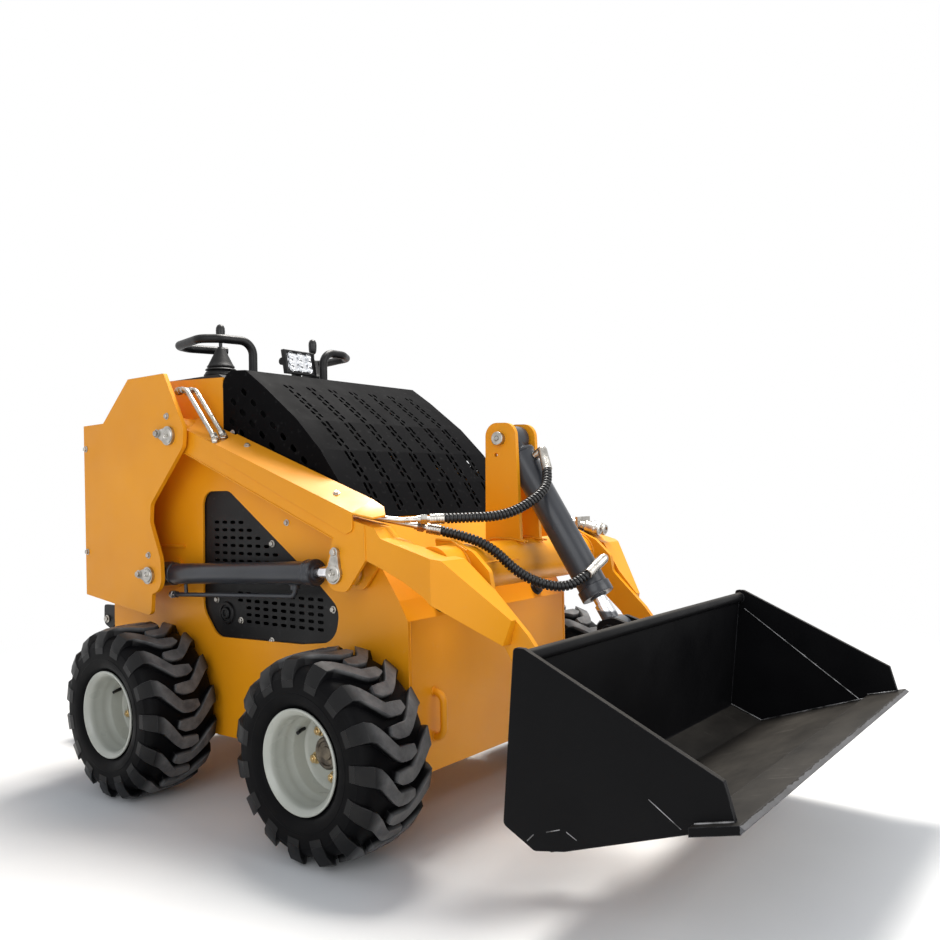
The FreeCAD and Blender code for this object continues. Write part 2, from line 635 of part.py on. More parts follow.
def hood():
    """Folded hood sheet with double rows of slots down its slope."""
    line = hood_line()
    inner = SIDE_Y - HOOD_T
    top = strip(line[::-1], HOOD_T, -inner, inner)
    side = slab(line + [(HOOD_REAR_X, 931)], -SIDE_Y, -inner)
    keep = box(HOOD_REAR_X + FIT, NOSE_X, -SIDE_Y - 1, SIDE_Y + 1, 700, TOWER_TOP_Z + 60)
    sheet = fused([top, side, mirrored(side)]).common(keep)
    cutters = []
    for p, q in zip(line[2:-1], line[3:]):
        run = math.hypot(q[0] - p[0], q[1] - p[1])
        ahead = V((q[0] - p[0]) / run, 0, (q[1] - p[1]) / run)
        places = []
        count = int((run - 16) // HOOD_SLOT[2])
        first = (run - (count - 1) * HOOD_SLOT[2]) / 2
        for i in range(count):
            for row in range(HOOD_ROWS):
                y = (row - (HOOD_ROWS - 1) / 2) * HOOD_ROW_STEP
                places.append((first + i * HOOD_SLOT[2] - 6, y - HOOD_SLOT[3] / 2))
                places.append((first + i * HOOD_SLOT[2] + 6, y + HOOD_SLOT[3] / 2))
        cutters += slots(V(p[0], 0, p[1]), ahead, V(0, 1, 0), 8, HOOD_SLOT, places)
    side_places = []
    for row in range(3):
        for i in range(9):
            x = -95 + i * 38 - row * 28
            z = 1090 - i * 34 - row * 40
            if z > 930 - 0.348 * (x + 150) + 25:
                side_places.append((x, z))
    for y in (-SIDE_Y, SIDE_Y):
        cutters += slots(V(0, y, 0), V(1, 0, 0), V(0, 0, 1), 8, HOOD_SLOT, side_places)
    return sheet.cut(Part.makeCompound(cutters))


def floor_z(x):
    """Height of the underside of the bucket floor."""
    return 176.6 + (x - 1015.5) * (266.0 - 176.6) / (1274.2 - 1015.5)


def bucket():
    inner = BUCKET_Y - BUCKET_PLATE_T
    front = EDGE_X - FIT
    back = [(949, 518), (918, 208, 10), (1010, floor_z(1010), 10), (front, floor_z(front))]
    face = [(949 + 6, 518), (924.5, 212.5, 5), (1009, floor_z(1009) + 6.4, 5), (front, floor_z(front) + 6.4)]
    shell = slab(back + face[::-1], -inner, inner)
    tube = ypin((955, 512), 13, -inner, inner)
    plate = [(944, 532, 8), (966, 532, 10), (1335, 361, 5), (1352, edge_z(1352) + EDGE_T + FIT),
             (front, edge_z(front) + EDGE_T + FIT), (front, floor_z(front)), (1044, floor_z(1044), 20),
             (982, 174, 14), (915, 208, 10)]
    side = slab(plate, -BUCKET_Y, -inner)
    return fused([shell, tube, side, mirrored(side)])


def edge_z(x):
    """Height of the underside of the cutting edge."""
    return floor_z(EDGE_X) + (x - EDGE_X) * EDGE_RISE


def cutting_edge():
    return slab([(EDGE_X, edge_z(EDGE_X)), (1366, edge_z(1366)), (1374, edge_z(1374) + 7),
                 (1364, edge_z(1364) + EDGE_T), (EDGE_X, edge_z(EDGE_X) + EDGE_T)], -EDGE_Y, EDGE_Y)


def hitch():
    """Hitch plate behind the bucket with its hinge lugs and the tilt lugs."""
    plate = slab([(943, 505), (920, 250), (920 - HITCH_T, 250), (943 - HITCH_T, 505)], -HITCH_Y, HITCH_Y)
    lugs = []
    for y in (-HAND_Y - FIT * 2 - HITCH_LUG_T, -HAND_Y + HAND_T + FIT * 2):
        line = [(912, 250), (930, 350), (HINGE[0] + 10, HINGE[1] + 60, 20), (HINGE[0] - 28, HINGE[1] + 20, 20),
                (HINGE[0] - 28, HINGE[1] - 30, 24), (HINGE[0] + 20, HINGE[1] - 34, 20)]
        lugs.append(slab(line, y, y + HITCH_LUG_T))
    half = TILT_EYE_W / 2 + 1.5
    for y in (-half - HITCH_LUG_T, half):
        line = [(924, 400), (936, 500), (TILT_EYE[0] + 10, TILT_EYE[1] + 32, 24),
                (TILT_EYE[0] - 34, TILT_EYE[1] + 20, 24), (TILT_EYE[0] - 30, TILT_EYE[1] - 30, 24)]
        lugs.append(slab(line, y, y + HITCH_LUG_T))
    out = [plate] + [l for l in lugs[:2]] + [mirrored(l) for l in lugs[:2]] + lugs[2:]
    return fused(out).cut(ypin(HINGE, HINGE_PIN_R + FIT, -500, 500)).cut(ypin(TILT_EYE, EAR_PIN_R + FIT, -90, 90))


def handlebar(route):
    """Reference bar on one foot: a level loop round the joystick. The route is (x, y) after the foot."""
    pts = [(route[0][0], route[0][1], CONSOLE_Z + FIT)]
    pts += [(x, y, CONSOLE_Z + LOOP_H) for x, y in route]
    return bar(pts, LOOP_R, LOOP_BEND)[0]


def joystick(side):
    """Control stick with its pleated boot, as one revolved form."""
    x, y = STICK[0], side * STICK[1]
    z = CONSOLE_Z + FIT
    wire = Part.makePolygon([V(r, 0, h) for r, h in STICK_LINE] + [V(0, 0, 0)])
    return Part.Face(wire).revolve(V(0, 0, 0), V(0, 0, 1), 360).translated(V(x, y, z))


def console():
    inner = SIDE_Y - PLATE_T
    line = [(REAR_X + PLATE_T, REAR_TOP_Z - 30), (HOOD_REAR_X - 4, REAR_TOP_Z - 30),
            (HOOD_REAR_X - 4, TOWER_TOP_Z),
            (HOOD_REAR_X - 30, CONSOLE_Z, 10), (-430, CONSOLE_Z, 20), (-560, CONSOLE_Z - 42, 20),
            (REAR_X + PLATE_T, REAR_TOP_Z, 10)]
    return slab(line, -inner, inner)


def lamp():
    """Square work lamp, leaning back, with a recessed face of nine lenses and its stay."""
    low, high = CONSOLE_Z + 33, CONSOLE_Z + 108
    y0, y1 = LAMP_Y - LAMP_W / 2, LAMP_Y + LAMP_W / 2
    frame = slab([(LAMP_X - 16, low, 3), (LAMP_X, low, 3), (LAMP_X - 13, high, 3), (LAMP_X - 29, high, 3)], y0, y1)
    heat = slab([(LAMP_X - 27, low + 14, 4), (LAMP_X - 13, low + 8), (LAMP_X - 25, high - 8),
                 (LAMP_X - 39, high - 14, 4)], y0 + 14, y1 - 14)
    hollow = slab([(LAMP_X - 7, low + 5), (LAMP_X + 9, low + 5), (LAMP_X - 4, high - 5), (LAMP_X - 20, high - 5)],
                  y0 + 5, y1 - 5)
    out = fused([frame, heat]).cut(hollow)
    lean = V(75, 0, 13).normalize()
    middle = V(LAMP_X - 14, LAMP_Y, (low + high) / 2)
    rise = V(-lean.z, 0, lean.x)
    lenses = []
    for i in (-1, 0, 1):
        for j in (-1, 0, 1):
            spot = middle + rise * (21 * i) + V(0, 36 * j, 0)
            lenses.append(Part.makeCone(7, 9.5, 4, spot - lean, lean))
    foot = box(LAMP_X - 36, LAMP_X - 18, LAMP_Y - 12, LAMP_Y + 12, CONSOLE_Z + FIT, low + 24)
    return fused([out, foot] + lenses)


def platform():
    """Fold-up stand board behind the rear wall."""
    board = box(-1045, -748, -250, 250, 196, 202)
    rim_x = box(-1045, -1039, -250, 250, 202, 226)
    cheeks = [box(-1045, -748, y, y + 6, 202, 232) for y in (-250, 244)]
    barrel_part = ypin((-742, 214), 14, -250, 250)
    out = fused([board, rim_x] + cheeks + [barrel_part])
    return out.cut(ypin((-742, 214), 8 + FIT, -260, 260))


def brackets():
    """Rear lugs that carry the stand board and its upper stops."""
    out = []
    for y in (-SIDE_Y + PLATE_T, -272):
        out.append(slab([(REAR_X, 480), (-772, 480, 10), (-774, 420, 20), (-735, 405, 20), (REAR_X, 430)], y, y + 8))
    low = slab([(REAR_X, 250), (-730, 246), (-764, 214, 18), (-740, 188, 14), (REAR_X, 205)], -266, -256)
    pin = ypin((-742, 214), 8, -256, 256)
    out.append(low)
    return [o for o in out] + [mirrored(o) for o in out] + [pin]


def tow_loop():
    """Bent bar on the nose."""
    out = NOSE_X + 28
    pts = [(NOSE_X, -250, 346), (out, -250, 346), (out, -250, 240), (NOSE_X, -250, 240)]
    return bar(pts, 9, 25)[0]


def couplers():
    """Two quick couplers in a bracket on the left arm."""
    out = [rod(V(CROSS[0] - 50, y, CROSS[1] + 88), V(CROSS[0] + 55, y, CROSS[1] + 62), 13)
           for y in (HAND_Y + 20, HAND_Y + 52)]
    plate = box(CROSS[0] - 10, CROSS[0] - 2, HAND_Y + 2, HAND_Y + 70, CROSS[1] + CROSS_R + FIT, CROSS[1] + 100)
    return fused([plate] + out)


def tower_tubes():
    """Two steel tubes that rise from the arm's roof to their fittings beside the pivot."""
    out = []
    up = V(ARM_FALL, -ROOF_SLOPE, 1).normalize()
    for x, y, knee_x in ((-102, ARM_OUT_Y - 10, -229), (-97, ARM_OUT_Y - 33, -220)):
        seat = V(x, -y, arm_top(x) - ROOF_SLOPE * (y - ARM_IN_Y)) + up * FIT
        knee = V(knee_x, -y, TOWER_TOP_Z - 30)
        tail = knee + V(-39, 0, -5)
        tube = bar([tuple(tail), tuple(knee), tuple(seat + up * 8)], TUBE_R, 22)[0]
        boss = rod(seat, seat + up * 13, 9)
        nut = rod(tail, tail + V(22, 0, 3), 9.5)
        out.append(fused([tube, boss, nut]))
    return out


def engine():
    front = WHEELBASE / 2 - HUB_R - 22
    return box(front - 360, front, -190, 190, BELLY_Z + PLATE_T + FIT, 690)


def build():
    nodes = {}
    nodes["chassis_shell"] = chassis()
    nodes["tower_right"] = tower()
    nodes["tower_left"] = mirrored(nodes["tower_right"])
    nodes["hood_guard"] = hood()
    nodes["side_guards"] = pair(side_guard())
    nodes["engine_block"] = engine()
    nodes["console"] = console()
    right_loop = [(-205, -190), (-228, -288), (-270, -326), (-424, -292), (-440, -242), (-402, -130)]
    left_loop = [(-205, 87), (-204, 172), (-246, 232), (-392, 262), (-452, 222), (-440, 120)]
    nodes["handlebars"] = Part.makeCompound([handlebar(right_loop), handlebar(left_loop)])
    nodes["joysticks"] = Part.makeCompound([joystick(-1), joystick(1)])
    nodes["work_lamp"] = lamp()
    nodes["tow_loops"] = pair(tow_loop())
    mid = V((NOSE_X + BEVEL[0]) / 2, -210, (NOSE_TOP_Z + BEVEL[1]) / 2)
    out_dir = V(BEVEL[1] - NOSE_TOP_Z, 0, NOSE_X - BEVEL[0]).normalize()
    stop = Part.makeCylinder(18, 15, mid + out_dir * FIT, out_dir)
    nodes["bump_stops"] = pair(stop)
    nodes["platform_brackets"] = Part.makeCompound(brackets())
    nodes["platform"] = platform()
    pin = ypin(PIVOT, PIVOT_PIN_R, -TOWER_Y, -SIDE_Y + PLATE_T)
    head = keeper(PIVOT, 24, -TOWER_Y, (-46, 8))
    boom_pin = fused([pin, head])
    pin = ypin(BASE_PIN, BASE_PIN_R, -TOWER_Y, -SIDE_Y)
    head = keeper(BASE_PIN, 22, -TOWER_Y, (-40, 2))
    nodes["tower_pins"] = Part.makeCompound([pair(boom_pin), pair(fused([pin, head]))])

    nodes["arm_right"] = arm()
    nodes["arm_left"] = mirrored(nodes["arm_right"])
    nodes["arm_covers"] = pair(arm_cover())
    nodes["cross_member"] = cross_member()
    rod_head = fused([ypin(ROD_PIN, ROD_PIN_R + 4, -ARM_OUT_Y - 6, -ARM_OUT_Y),
                      keeper(ROD_PIN, 22, -ARM_OUT_Y, (6, 50))])
    tilt_pin = ypin(EAR_PIN, EAR_PIN_R, -EAR_Y - 12, EAR_Y + 12)
    hinge_pin = ypin(HINGE, HINGE_PIN_R, -HAND_Y - HITCH_LUG_T - 8, -HAND_Y + HAND_T + HITCH_LUG_T + 6)
    nodes["arm_pins"] = Part.makeCompound([pair(rod_head), tilt_pin, pair(hinge_pin)])
    tubes = [bar(t, TUBE_R, 45)[0] for t in (TUBE_UPPER, TUBE_LOWER)]
    nodes["arm_lines"] = Part.makeCompound(tubes + tower_tubes() + [couplers()])
    for name, route in (("hose_upper", hose_route(TUBE_UPPER, HOSE_UPPER, PORT_UPPER, NUT_UPPER)),
                        ("hose_lower", hose_route(TUBE_LOWER, HOSE_LOWER, PORT_LOWER, NUT_LOWER))):
        shape, radii, length = bar(route, HOSE_R, None)
        print(name, "length", round(length, 1), "radii", [round(r) for r in radii], "volume ratio",
              round(shape.Volume / (math.pi * HOSE_R ** 2 * length), 4),
              [tuple(round(c, 1) for c in p) for p in route])
        nodes[name] = shape
    for name, side in (("right", -1), ("left", 1)):
        y = side * LIFT_Y
        tube = barrel(BASE_PIN, ROD_PIN, y, LIFT_GLAND, LIFT_BARREL_R, LIFT_ROD_R, LIFT_EYE_R, LIFT_EYE_W,
                      BASE_PIN_R, LIFT_FOOT)
        nodes["lift_barrel_" + name] = Part.makeCompound([tube, lift_line(y)])
        nodes["lift_rod_" + name] = cylinder_rod(BASE_PIN, ROD_PIN, y, LIFT_FOOT, LIFT_ROD_R, LIFT_EYE_R,
                                                 LIFT_EYE_W, LIFT_STEM, LIFT_TAIL)
    nodes["tilt_barrel"] = barrel(EAR_PIN, TILT_EYE, 0, TILT_GLAND, TILT_BARREL_R, TILT_ROD_R, 34, 60, EAR_PIN_R,
                                  TILT_FOOT)
    nodes["tilt_rod"] = cylinder_rod(EAR_PIN, TILT_EYE, 0, TILT_FOOT, TILT_ROD_R, TILT_EYE_R, TILT_EYE_W,
                                     TILT_STEM, TILT_TAIL)
    nodes["tilt_fittings"] = tilt_fittings()

    nodes["bucket_shell"] = bucket()
    nodes["cutting_edge"] = cutting_edge()
    lug_face = -TILT_EYE_W / 2 - 1.5
    cap = ypin(TILT_EYE, EAR_PIN_R, lug_face - HITCH_LUG_T - 8, lug_face)
    nodes["hitch"] = Part.makeCompound([hitch(), pair(cap)])

    rubber = tyre()
    for end, x in (("front", WHEELBASE / 2), ("rear", -WHEELBASE / 2)):
        for side_name, side in (("right", -1), ("left", 1)):
            key = end + "_" + side_name
            nodes["tyre_" + key] = at_wheel(rubber, x, side)
            nodes["rim_" + key] = at_wheel(rim(), x, side)
            nodes["hub_" + key] = at_wheel(Part.makeCompound([hub()] + wheel_nuts()), x, side)
    return nodes


def main():
    os.makedirs("parts", exist_ok=True)
    nodes = build()
    whole = Part.makeCompound(list(nodes.values())).BoundBox
    shift = V(-(whole.XMin + whole.XMax) / 2, -(whole.YMin + whole.YMax) / 2, -whole.ZMin)
    print("shift", round(shift.x, 4), round(shift.y, 4), round(shift.z, 4))
    print("box", round(whole.XMin, 2), round(whole.XMax, 2), round(whole.YMin, 2), round(whole.YMax, 2),
          round(whole.ZMin, 2), round(whole.ZMax, 2))
    for name, shape in nodes.items():
        placed = shape.translated(shift)
        print(name, len(placed.Solids), placed.isValid(), round(placed.Volume / 1e6, 3))
        placed.exportStep("parts/" + name + ".step")


main()
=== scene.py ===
import bpy
import json
import math
import random
from mathutils import Matrix, Vector
from mathutils.geometry import delaunay_2d_cdt


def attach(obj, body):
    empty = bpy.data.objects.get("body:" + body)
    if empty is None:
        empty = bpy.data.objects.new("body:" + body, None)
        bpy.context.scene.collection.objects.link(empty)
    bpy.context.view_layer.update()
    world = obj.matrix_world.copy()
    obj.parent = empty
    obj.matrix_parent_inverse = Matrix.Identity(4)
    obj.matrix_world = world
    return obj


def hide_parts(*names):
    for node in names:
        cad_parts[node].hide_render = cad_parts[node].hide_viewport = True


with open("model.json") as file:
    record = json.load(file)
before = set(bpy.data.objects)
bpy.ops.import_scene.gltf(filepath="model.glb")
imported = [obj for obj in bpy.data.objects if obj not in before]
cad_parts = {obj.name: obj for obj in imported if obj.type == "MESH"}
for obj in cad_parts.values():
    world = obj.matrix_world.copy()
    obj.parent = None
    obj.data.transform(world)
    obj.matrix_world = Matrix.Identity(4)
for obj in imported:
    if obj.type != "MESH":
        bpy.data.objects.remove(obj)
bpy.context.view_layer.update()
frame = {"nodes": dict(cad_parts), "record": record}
random.seed(7)

# Places and sizes shared with the part's source, in its millimetres
SIDE_Y, TOWER_Y, HAND_Y = 339.5, 432.0, 282.0
ARM_IN_Y, ARM_OUT_Y = 346.5, 412.0
PIVOT, BASE_PIN, ROD_PIN = (-265, 982), (-367, 597), (352, 630)
HINGE, EAR_PIN, TILT_EYE = (862, 285), (571, 946.5), (862, 487)
TYRE_R, RIM_R, RIM_H = 232.5, 116.6, 101.0
TRACK_HALF, AXLE_X = 459.0, 379.5
DISC_Y, HUB_HOLE = 4.0, 38.0
NUTS, NUT_CIRCLE, NUT_TURN = 5, 57.0, 131.5
CONSOLE_Z = 1152.0
CROSS = (595, 640)
ARM_FALL, ROOF_SLOPE = 0.361, 0.43
HOOD = [(-150, 1112), (-144, 1131), (-130, 1145), (-110, 1152), (-55, 1148), (20, 1098), (143, 1006),
        (228, 925), (293, 843), (350, 756)]
HOOD_LOW_Z = 931
SHEET = 3.0
# A steel plate's thickness with the gap beside it
PLATE = 8.3
OUT = (0, -1, 0)

# The drawing's origin, half way between the axles, lies this far behind the frame's, in metres
SHIFT = 0.1645

# Camera at the photograph's viewing angle
AZ, PITCH, ROLL = math.radians(37.4594), math.radians(0.6435), math.radians(-0.997)
EYE = Vector((1.7124, -1.8803, 0.8156))
FOCAL_PX, CENTRE_V, SIZE_PX, SENSOR = 898.4101, 481.4141, 940.0, 36.0


def add(name, data):
    obj = bpy.data.objects.new(name, data)
    bpy.context.scene.collection.objects.link(obj)
    return obj


def make_camera():
    fwd = Vector((-math.sin(AZ) * math.cos(PITCH), math.cos(AZ) * math.cos(PITCH), math.sin(PITCH)))
    right = Vector((math.cos(AZ), math.sin(AZ), 0.0))
    up = right.cross(fwd)
    data = bpy.data.cameras.new("camera")
    data.sensor_width = SENSOR
    data.lens = FOCAL_PX / SIZE_PX * SENSOR
    data.shift_y = (CENTRE_V - SIZE_PX / 2) / SIZE_PX
    data.clip_start, data.clip_end = 0.05, 60.0
    cam = add("camera", data)
    rolled_right = right * math.cos(ROLL) + up * math.sin(ROLL)
    rolled_up = up * math.cos(ROLL) - right * math.sin(ROLL)
    m = Matrix((rolled_right, rolled_up, -fwd)).transposed().to_4x4()
    m.translation = EYE
    cam.matrix_world = m
    bpy.context.scene.camera = cam


make_camera()

MATS = {}


# Node helpers for the procedural materials
class Tree:
    def __init__(self, name):
        self.mat = MATS[name] = bpy.data.materials.new(name)
        self.mat.use_nodes = True
        self.nt = self.mat.node_tree
        self.bsdf = next(n for n in self.nt.nodes if n.type == "BSDF_PRINCIPLED")
        source = self.new("TexCoord")
        self.coord, self.normal = source.outputs["Object"], source.outputs["Normal"]

    def new(self, kind, **sockets):
        node = self.nt.nodes.new("ShaderNode" + kind)
        for key, value in sockets.items():
            self.put(node.inputs[key.replace("_", " ")], value)
        return node

    def put(self, socket, value):
        if isinstance(value, bpy.types.NodeSocket):
            self.nt.links.new(value, socket)
        elif socket.type == "RGBA":
            socket.default_value = (*value, 1)
        else:
            socket.default_value = value

    def set(self, **values):
        for key, value in values.items():
            self.put(self.bsdf.inputs[key.replace("_", " ")], value)

    def noise(self, scale, detail=3.0, rough=0.5, coord=None):
        node = self.new("TexNoise", Scale=scale, Detail=detail, Roughness=rough, Vector=coord or self.coord)
        return node.outputs["Fac"]

    def stretch(self, x, y, z):
        return self.new("Mapping", Scale=(x, y, z), Vector=self.coord).outputs["Vector"]

    def ramp(self, fac, low, high):
        """Grey between two (position, value) stops."""
        node = self.new("ValToRGB", Fac=fac)
        for stop, (position, value) in zip(node.color_ramp.elements, (low, high)):
            stop.position = position
            stop.color = (value, value, value, 1)
        return node.outputs["Color"]

    def patch(self, scale, low, high, detail=3.0, rough=0.5, coord=None):
        """Noise put through a ramp."""
        return self.ramp(self.noise(scale, detail, rough, coord), low, high)

    def mix(self, fac, a, b):
        node = self.new("Mix")
        node.data_type = "RGBA"
        for socket, value in zip((node.inputs[0], node.inputs[6], node.inputs[7]), (fac, a, b)):
            self.put(socket, value)
        return node.outputs[2]

    def operate(self, kind, op, a, b):
        node = self.new(kind)
        node.operation = op
        self.put(node.inputs[0], a)
        self.put(node.inputs[1], b)
        return node.outputs

    def maths(self, op, a, b=0.0):
        return self.operate("Math", op, a, b)[0]

    def times(self, a, b):
        return self.maths("MULTIPLY", a, b)

    def minus(self, a, b):
        return self.maths("SUBTRACT", a, b)

    def vector_maths(self, op, a, b=(0.0, 0.0, 0.0)):
        return self.operate("VectorMath", op, a, b)["Value"]

    def face_normal(self):
        return self.new("NewGeometry").outputs["Normal"]

    def axis(self, name, vector=None):
        return self.new("SeparateXYZ", Vector=vector or self.coord).outputs[name]

    def edges(self, radius):
        """Softened normal for the edges and a mask of them."""
        node = self.new("Bevel", Radius=radius)
        node.samples = 4
        soft = node.outputs["Normal"]
        apart = self.minus(1.0, self.vector_maths("DOT_PRODUCT", soft, self.face_normal()))
        return soft, self.ramp(apart, (0.0, 0.0), (0.12, 1.0))

    def bump(self, height, strength, distance, normal=None):
        node = self.new("Bump", Strength=strength, Distance=distance, Height=height)
        if normal is not None:
            self.put(node.inputs["Normal"], normal)
        self.set(Normal=node.outputs["Normal"])


# The hull's inside, painted dark as shade, in metres: half width, rear, front and floor
BAY_Y, BAY_REAR, BAY_FRONT, BAY_FLOOR = 0.3337, -0.8590, 0.3412, 0.1655
# Near-black painted shade for the hull's inner faces
BAY_SHADE = (0.006, 0.006, 0.006)
# Ahead of this X a face that looks forward is the nose's outside and gets no painted shade
BAY_NOSE = 0.1


def in_bay(t):
    """Mask of the hull's inner faces, where shade is painted."""
    within = t.maths("LESS_THAN", t.maths("ABSOLUTE", t.axis("Y")), BAY_Y)
    for way, limit, side in (("X", BAY_REAR, "GREATER_THAN"), ("X", BAY_FRONT, "LESS_THAN"),
                             ("Z", BAY_FLOOR, "GREATER_THAN")):
        within = t.times(within, t.maths(side, t.axis(way), limit))
    turned_in = t.maths("LESS_THAN", t.axis("X", t.face_normal()), 0.2)
    return t.times(within, t.maths("MAXIMUM", t.maths("LESS_THAN", t.axis("X"), BAY_NOSE), turned_in))


def paint(name, colours, rough=0.35, coat=0.2, peel=0.15, worn=None, wear=0.0, shine=0.4, bay_shade=False):
    """Sprayed paint with soft edges, slight tone changes and worn corners, and painted shade on the hull's
    inner faces when asked.
    """
    t = Tree(name)
    colour, dark = colours
    soft, mask = t.edges(0.0012)
    tone = t.mix(t.patch(3.0, (0.3, 0.0), (0.75, 1.0)), dark, colour)
    speck = t.patch(70.0, (0.62, 0.0), (0.78, 1.0), 4)
    tone = t.mix(t.times(speck, 0.1), tone, tuple(0.6 * c + 0.15 for c in colour))
    if worn:
        tone = t.mix(t.times(mask, t.patch(26.0, (0.45, 0.0), (0.62, wear), 5, 0.65)), tone, worn)
    # Painted shade: the hull's inner faces are made near-black
    if bay_shade:
        tone = t.mix(in_bay(t), tone, BAY_SHADE)
    t.bump(t.noise(260.0, 2), peel, 0.0006, soft)
    t.set(Base_Color=tone, Roughness=t.patch(14.0, (0.3, rough - 0.06), (0.7, rough + 0.08)),
          Coat_Weight=coat, Coat_Roughness=0.2, Specular_IOR_Level=shine)


def metal(name, colour, dark, rough=0.3, scale=60.0):
    t = Tree(name)
    tone = t.mix(t.patch(scale, (0.35, 0.0), (0.7, 1.0), 4), dark, colour)
    t.bump(t.noise(scale * 6, 2), 0.1, 0.0004, t.edges(0.0006)[0])
    t.set(Base_Color=tone, Metallic=1.0,
          Roughness=t.patch(scale * 0.5, (0.3, rough - 0.08), (0.7, rough + 0.1)))


def rubbery(name, colour, dust, rough=0.5, scale=30.0, grain=0.15, shine=0.25):
    t = Tree(name)
    tone = t.mix(t.patch(scale, (0.45, 0.0), (0.85, 0.6), 5), colour, dust)
    t.bump(t.noise(scale * 12, 3), grain, 0.0006)
    t.set(Base_Color=tone, Roughness=t.patch(scale * 0.6, (0.3, rough - 0.1), (0.7, rough + 0.1)),
          Specular_IOR_Level=shine)


# The worn lip of the cutting edge starts at this X, in metres
LIP_X = 1.2065


def bucket_paint():
    """Black paint, worn to brown-grey steel on the floor of the bucket."""
    t = Tree("bucket_paint")
    soft, mask = t.edges(0.0018)
    tone = t.mix(t.patch(4.0, (0.3, 0.0), (0.8, 1.0), 4), (0.003, 0.003, 0.0035), (0.005, 0.005, 0.0055))
    facing_up = t.ramp(t.axis("Z", t.normal), (0.7, 0.0), (0.9, 1.0))
    scuff = t.patch(7.0, (0.36, 0.4), (0.68, 1.0), 6, 0.7, t.stretch(1.0, 0.45, 1.0))
    tone = t.mix(t.times(facing_up, scuff), tone, (0.042, 0.038, 0.033))
    scratch = t.patch(16.0, (0.66, 0.0), (0.74, 0.3), 3, 0.6, t.stretch(0.3, 7.0, 1.0))
    tone = t.mix(t.times(facing_up, scratch), tone, (0.2, 0.18, 0.165))
    ragged = t.maths("ADD", t.axis("X"), t.times(t.noise(40.0, 4, 0.6), 0.01))
    lip = t.times(t.maths("GREATER_THAN", ragged, LIP_X), 0.8)
    tone = t.mix(t.times(lip, t.patch(14.0, (0.3, 0.5), (0.6, 1.0), 4)), tone, (0.13, 0.13, 0.135))
    rub = t.times(mask, t.patch(22.0, (0.42, 0.08), (0.6, 0.6), 5, 0.65))
    tone = t.mix(rub, tone, (0.14, 0.14, 0.15))
    t.bump(t.noise(160.0, 2), 0.12, 0.0006, soft)
    rough = t.mix(facing_up, t.patch(12.0, (0.3, 0.36), (0.7, 0.5)), (0.5, 0.5, 0.5))
    t.set(Base_Color=tone, Roughness=rough, Specular_IOR_Level=0.07)


# A lug is painted lighter from this radius on, partly as scuffs and partly as painted sheen, in metres
SCUFF_AND_SHEEN_R = 0.219


def tread_rubber():
    """Lugs painted grey on the crown, partly as scuffs and partly as painted sheen, and black toward the
    shoulder.
    """
    t = Tree("tread")
    dx = t.minus(t.maths("ABSOLUTE", t.maths("ADD", t.axis("X"), SHIFT)), AXLE_X / 1000)
    dz = t.minus(t.axis("Z"), TYRE_R / 1000)
    r = t.maths("SQRT", t.maths("ADD", t.times(dx, dx), t.times(dz, dz)))
    off = t.maths("ABSOLUTE", t.minus(t.maths("ABSOLUTE", t.axis("Y")), TRACK_HALF / 1000))
    # Lighter lug tops near the crown: scuffs with painted sheen
    high = t.ramp(t.times(t.minus(r, SCUFF_AND_SHEEN_R), 100.0), (0.1, 0.0), (0.9, 1.0))
    flat = t.ramp(t.times(off, 10.0), (0.62, 1.0), (0.92, 0.0))
    tone = t.mix(t.patch(24.0, (0.35, 0.0), (0.75, 1.0), 5, 0.65), (0.06, 0.06, 0.062), (0.15, 0.149, 0.147))
    tone = t.mix(t.times(high, flat), (0.003, 0.003, 0.0035), tone)
    soft, mask = t.edges(0.0012)
    tone = t.mix(t.times(mask, t.patch(40.0, (0.42, 0.0), (0.6, 0.45), 4)), tone, (0.11, 0.11, 0.11))
    t.bump(t.noise(220.0, 3), 0.12, 0.0006, soft)
    t.set(Base_Color=tone, Roughness=t.patch(11.0, (0.3, 0.3), (0.7, 0.46)), Specular_IOR_Level=0.2)


def cylinder_grey():
    t = Tree("grey_paint")
    tone = t.mix(t.patch(5.0, (0.3, 0.0), (0.75, 1.0)), (0.02, 0.022, 0.027), (0.034, 0.037, 0.044))
    t.bump(t.noise(240.0, 2), 0.08, 0.0005, t.edges(0.001)[0])
    t.set(Base_Color=tone, Roughness=t.patch(9.0, (0.3, 0.26), (0.7, 0.36)), Coat_Weight=0.1,
          Coat_Roughness=0.15, Specular_IOR_Level=0.35)


# The tilt rod is painted below this height, in metres
ROD_PAINT_Z = 0.532


def tilt_rod_metal():
    """Chrome near the gland, painted grey on its end block."""
    t = Tree("tilt_rod_metal")
    painted = t.ramp(t.minus(ROD_PAINT_Z, t.axis("Z")), (0.0, 0.0), (0.004, 1.0))
    bright = t.mix(t.noise(50.0), (0.6, 0.6, 0.62), (0.78, 0.78, 0.8))
    t.bump(t.noise(200.0, 2), 0.06, 0.0004, t.edges(0.0008)[0])
    t.set(Base_Color=t.mix(painted, bright, (0.05, 0.053, 0.06)), Metallic=t.minus(1.0, painted),
          Roughness=t.patch(12.0, (0.3, 0.16), (0.7, 0.28)))


def glassy():
    t = Tree("lens")
    tone = t.mix(t.patch(90.0, (0.4, 0.0), (0.6, 1.0), 2), (0.82, 0.84, 0.86), (0.95, 0.96, 0.97))
    t.set(Base_Color=tone, Roughness=t.patch(50.0, (0.3, 0.06), (0.7, 0.12)), Transmission_Weight=0.35)


YELLOW = ((0.80, 0.318, 0.006), (0.71, 0.268, 0.005))
BLACK = ((0.004, 0.004, 0.0045), (0.0025, 0.0025, 0.003))
SOFT_BLACK = ((0.005, 0.005, 0.0055), (0.01, 0.01, 0.01))

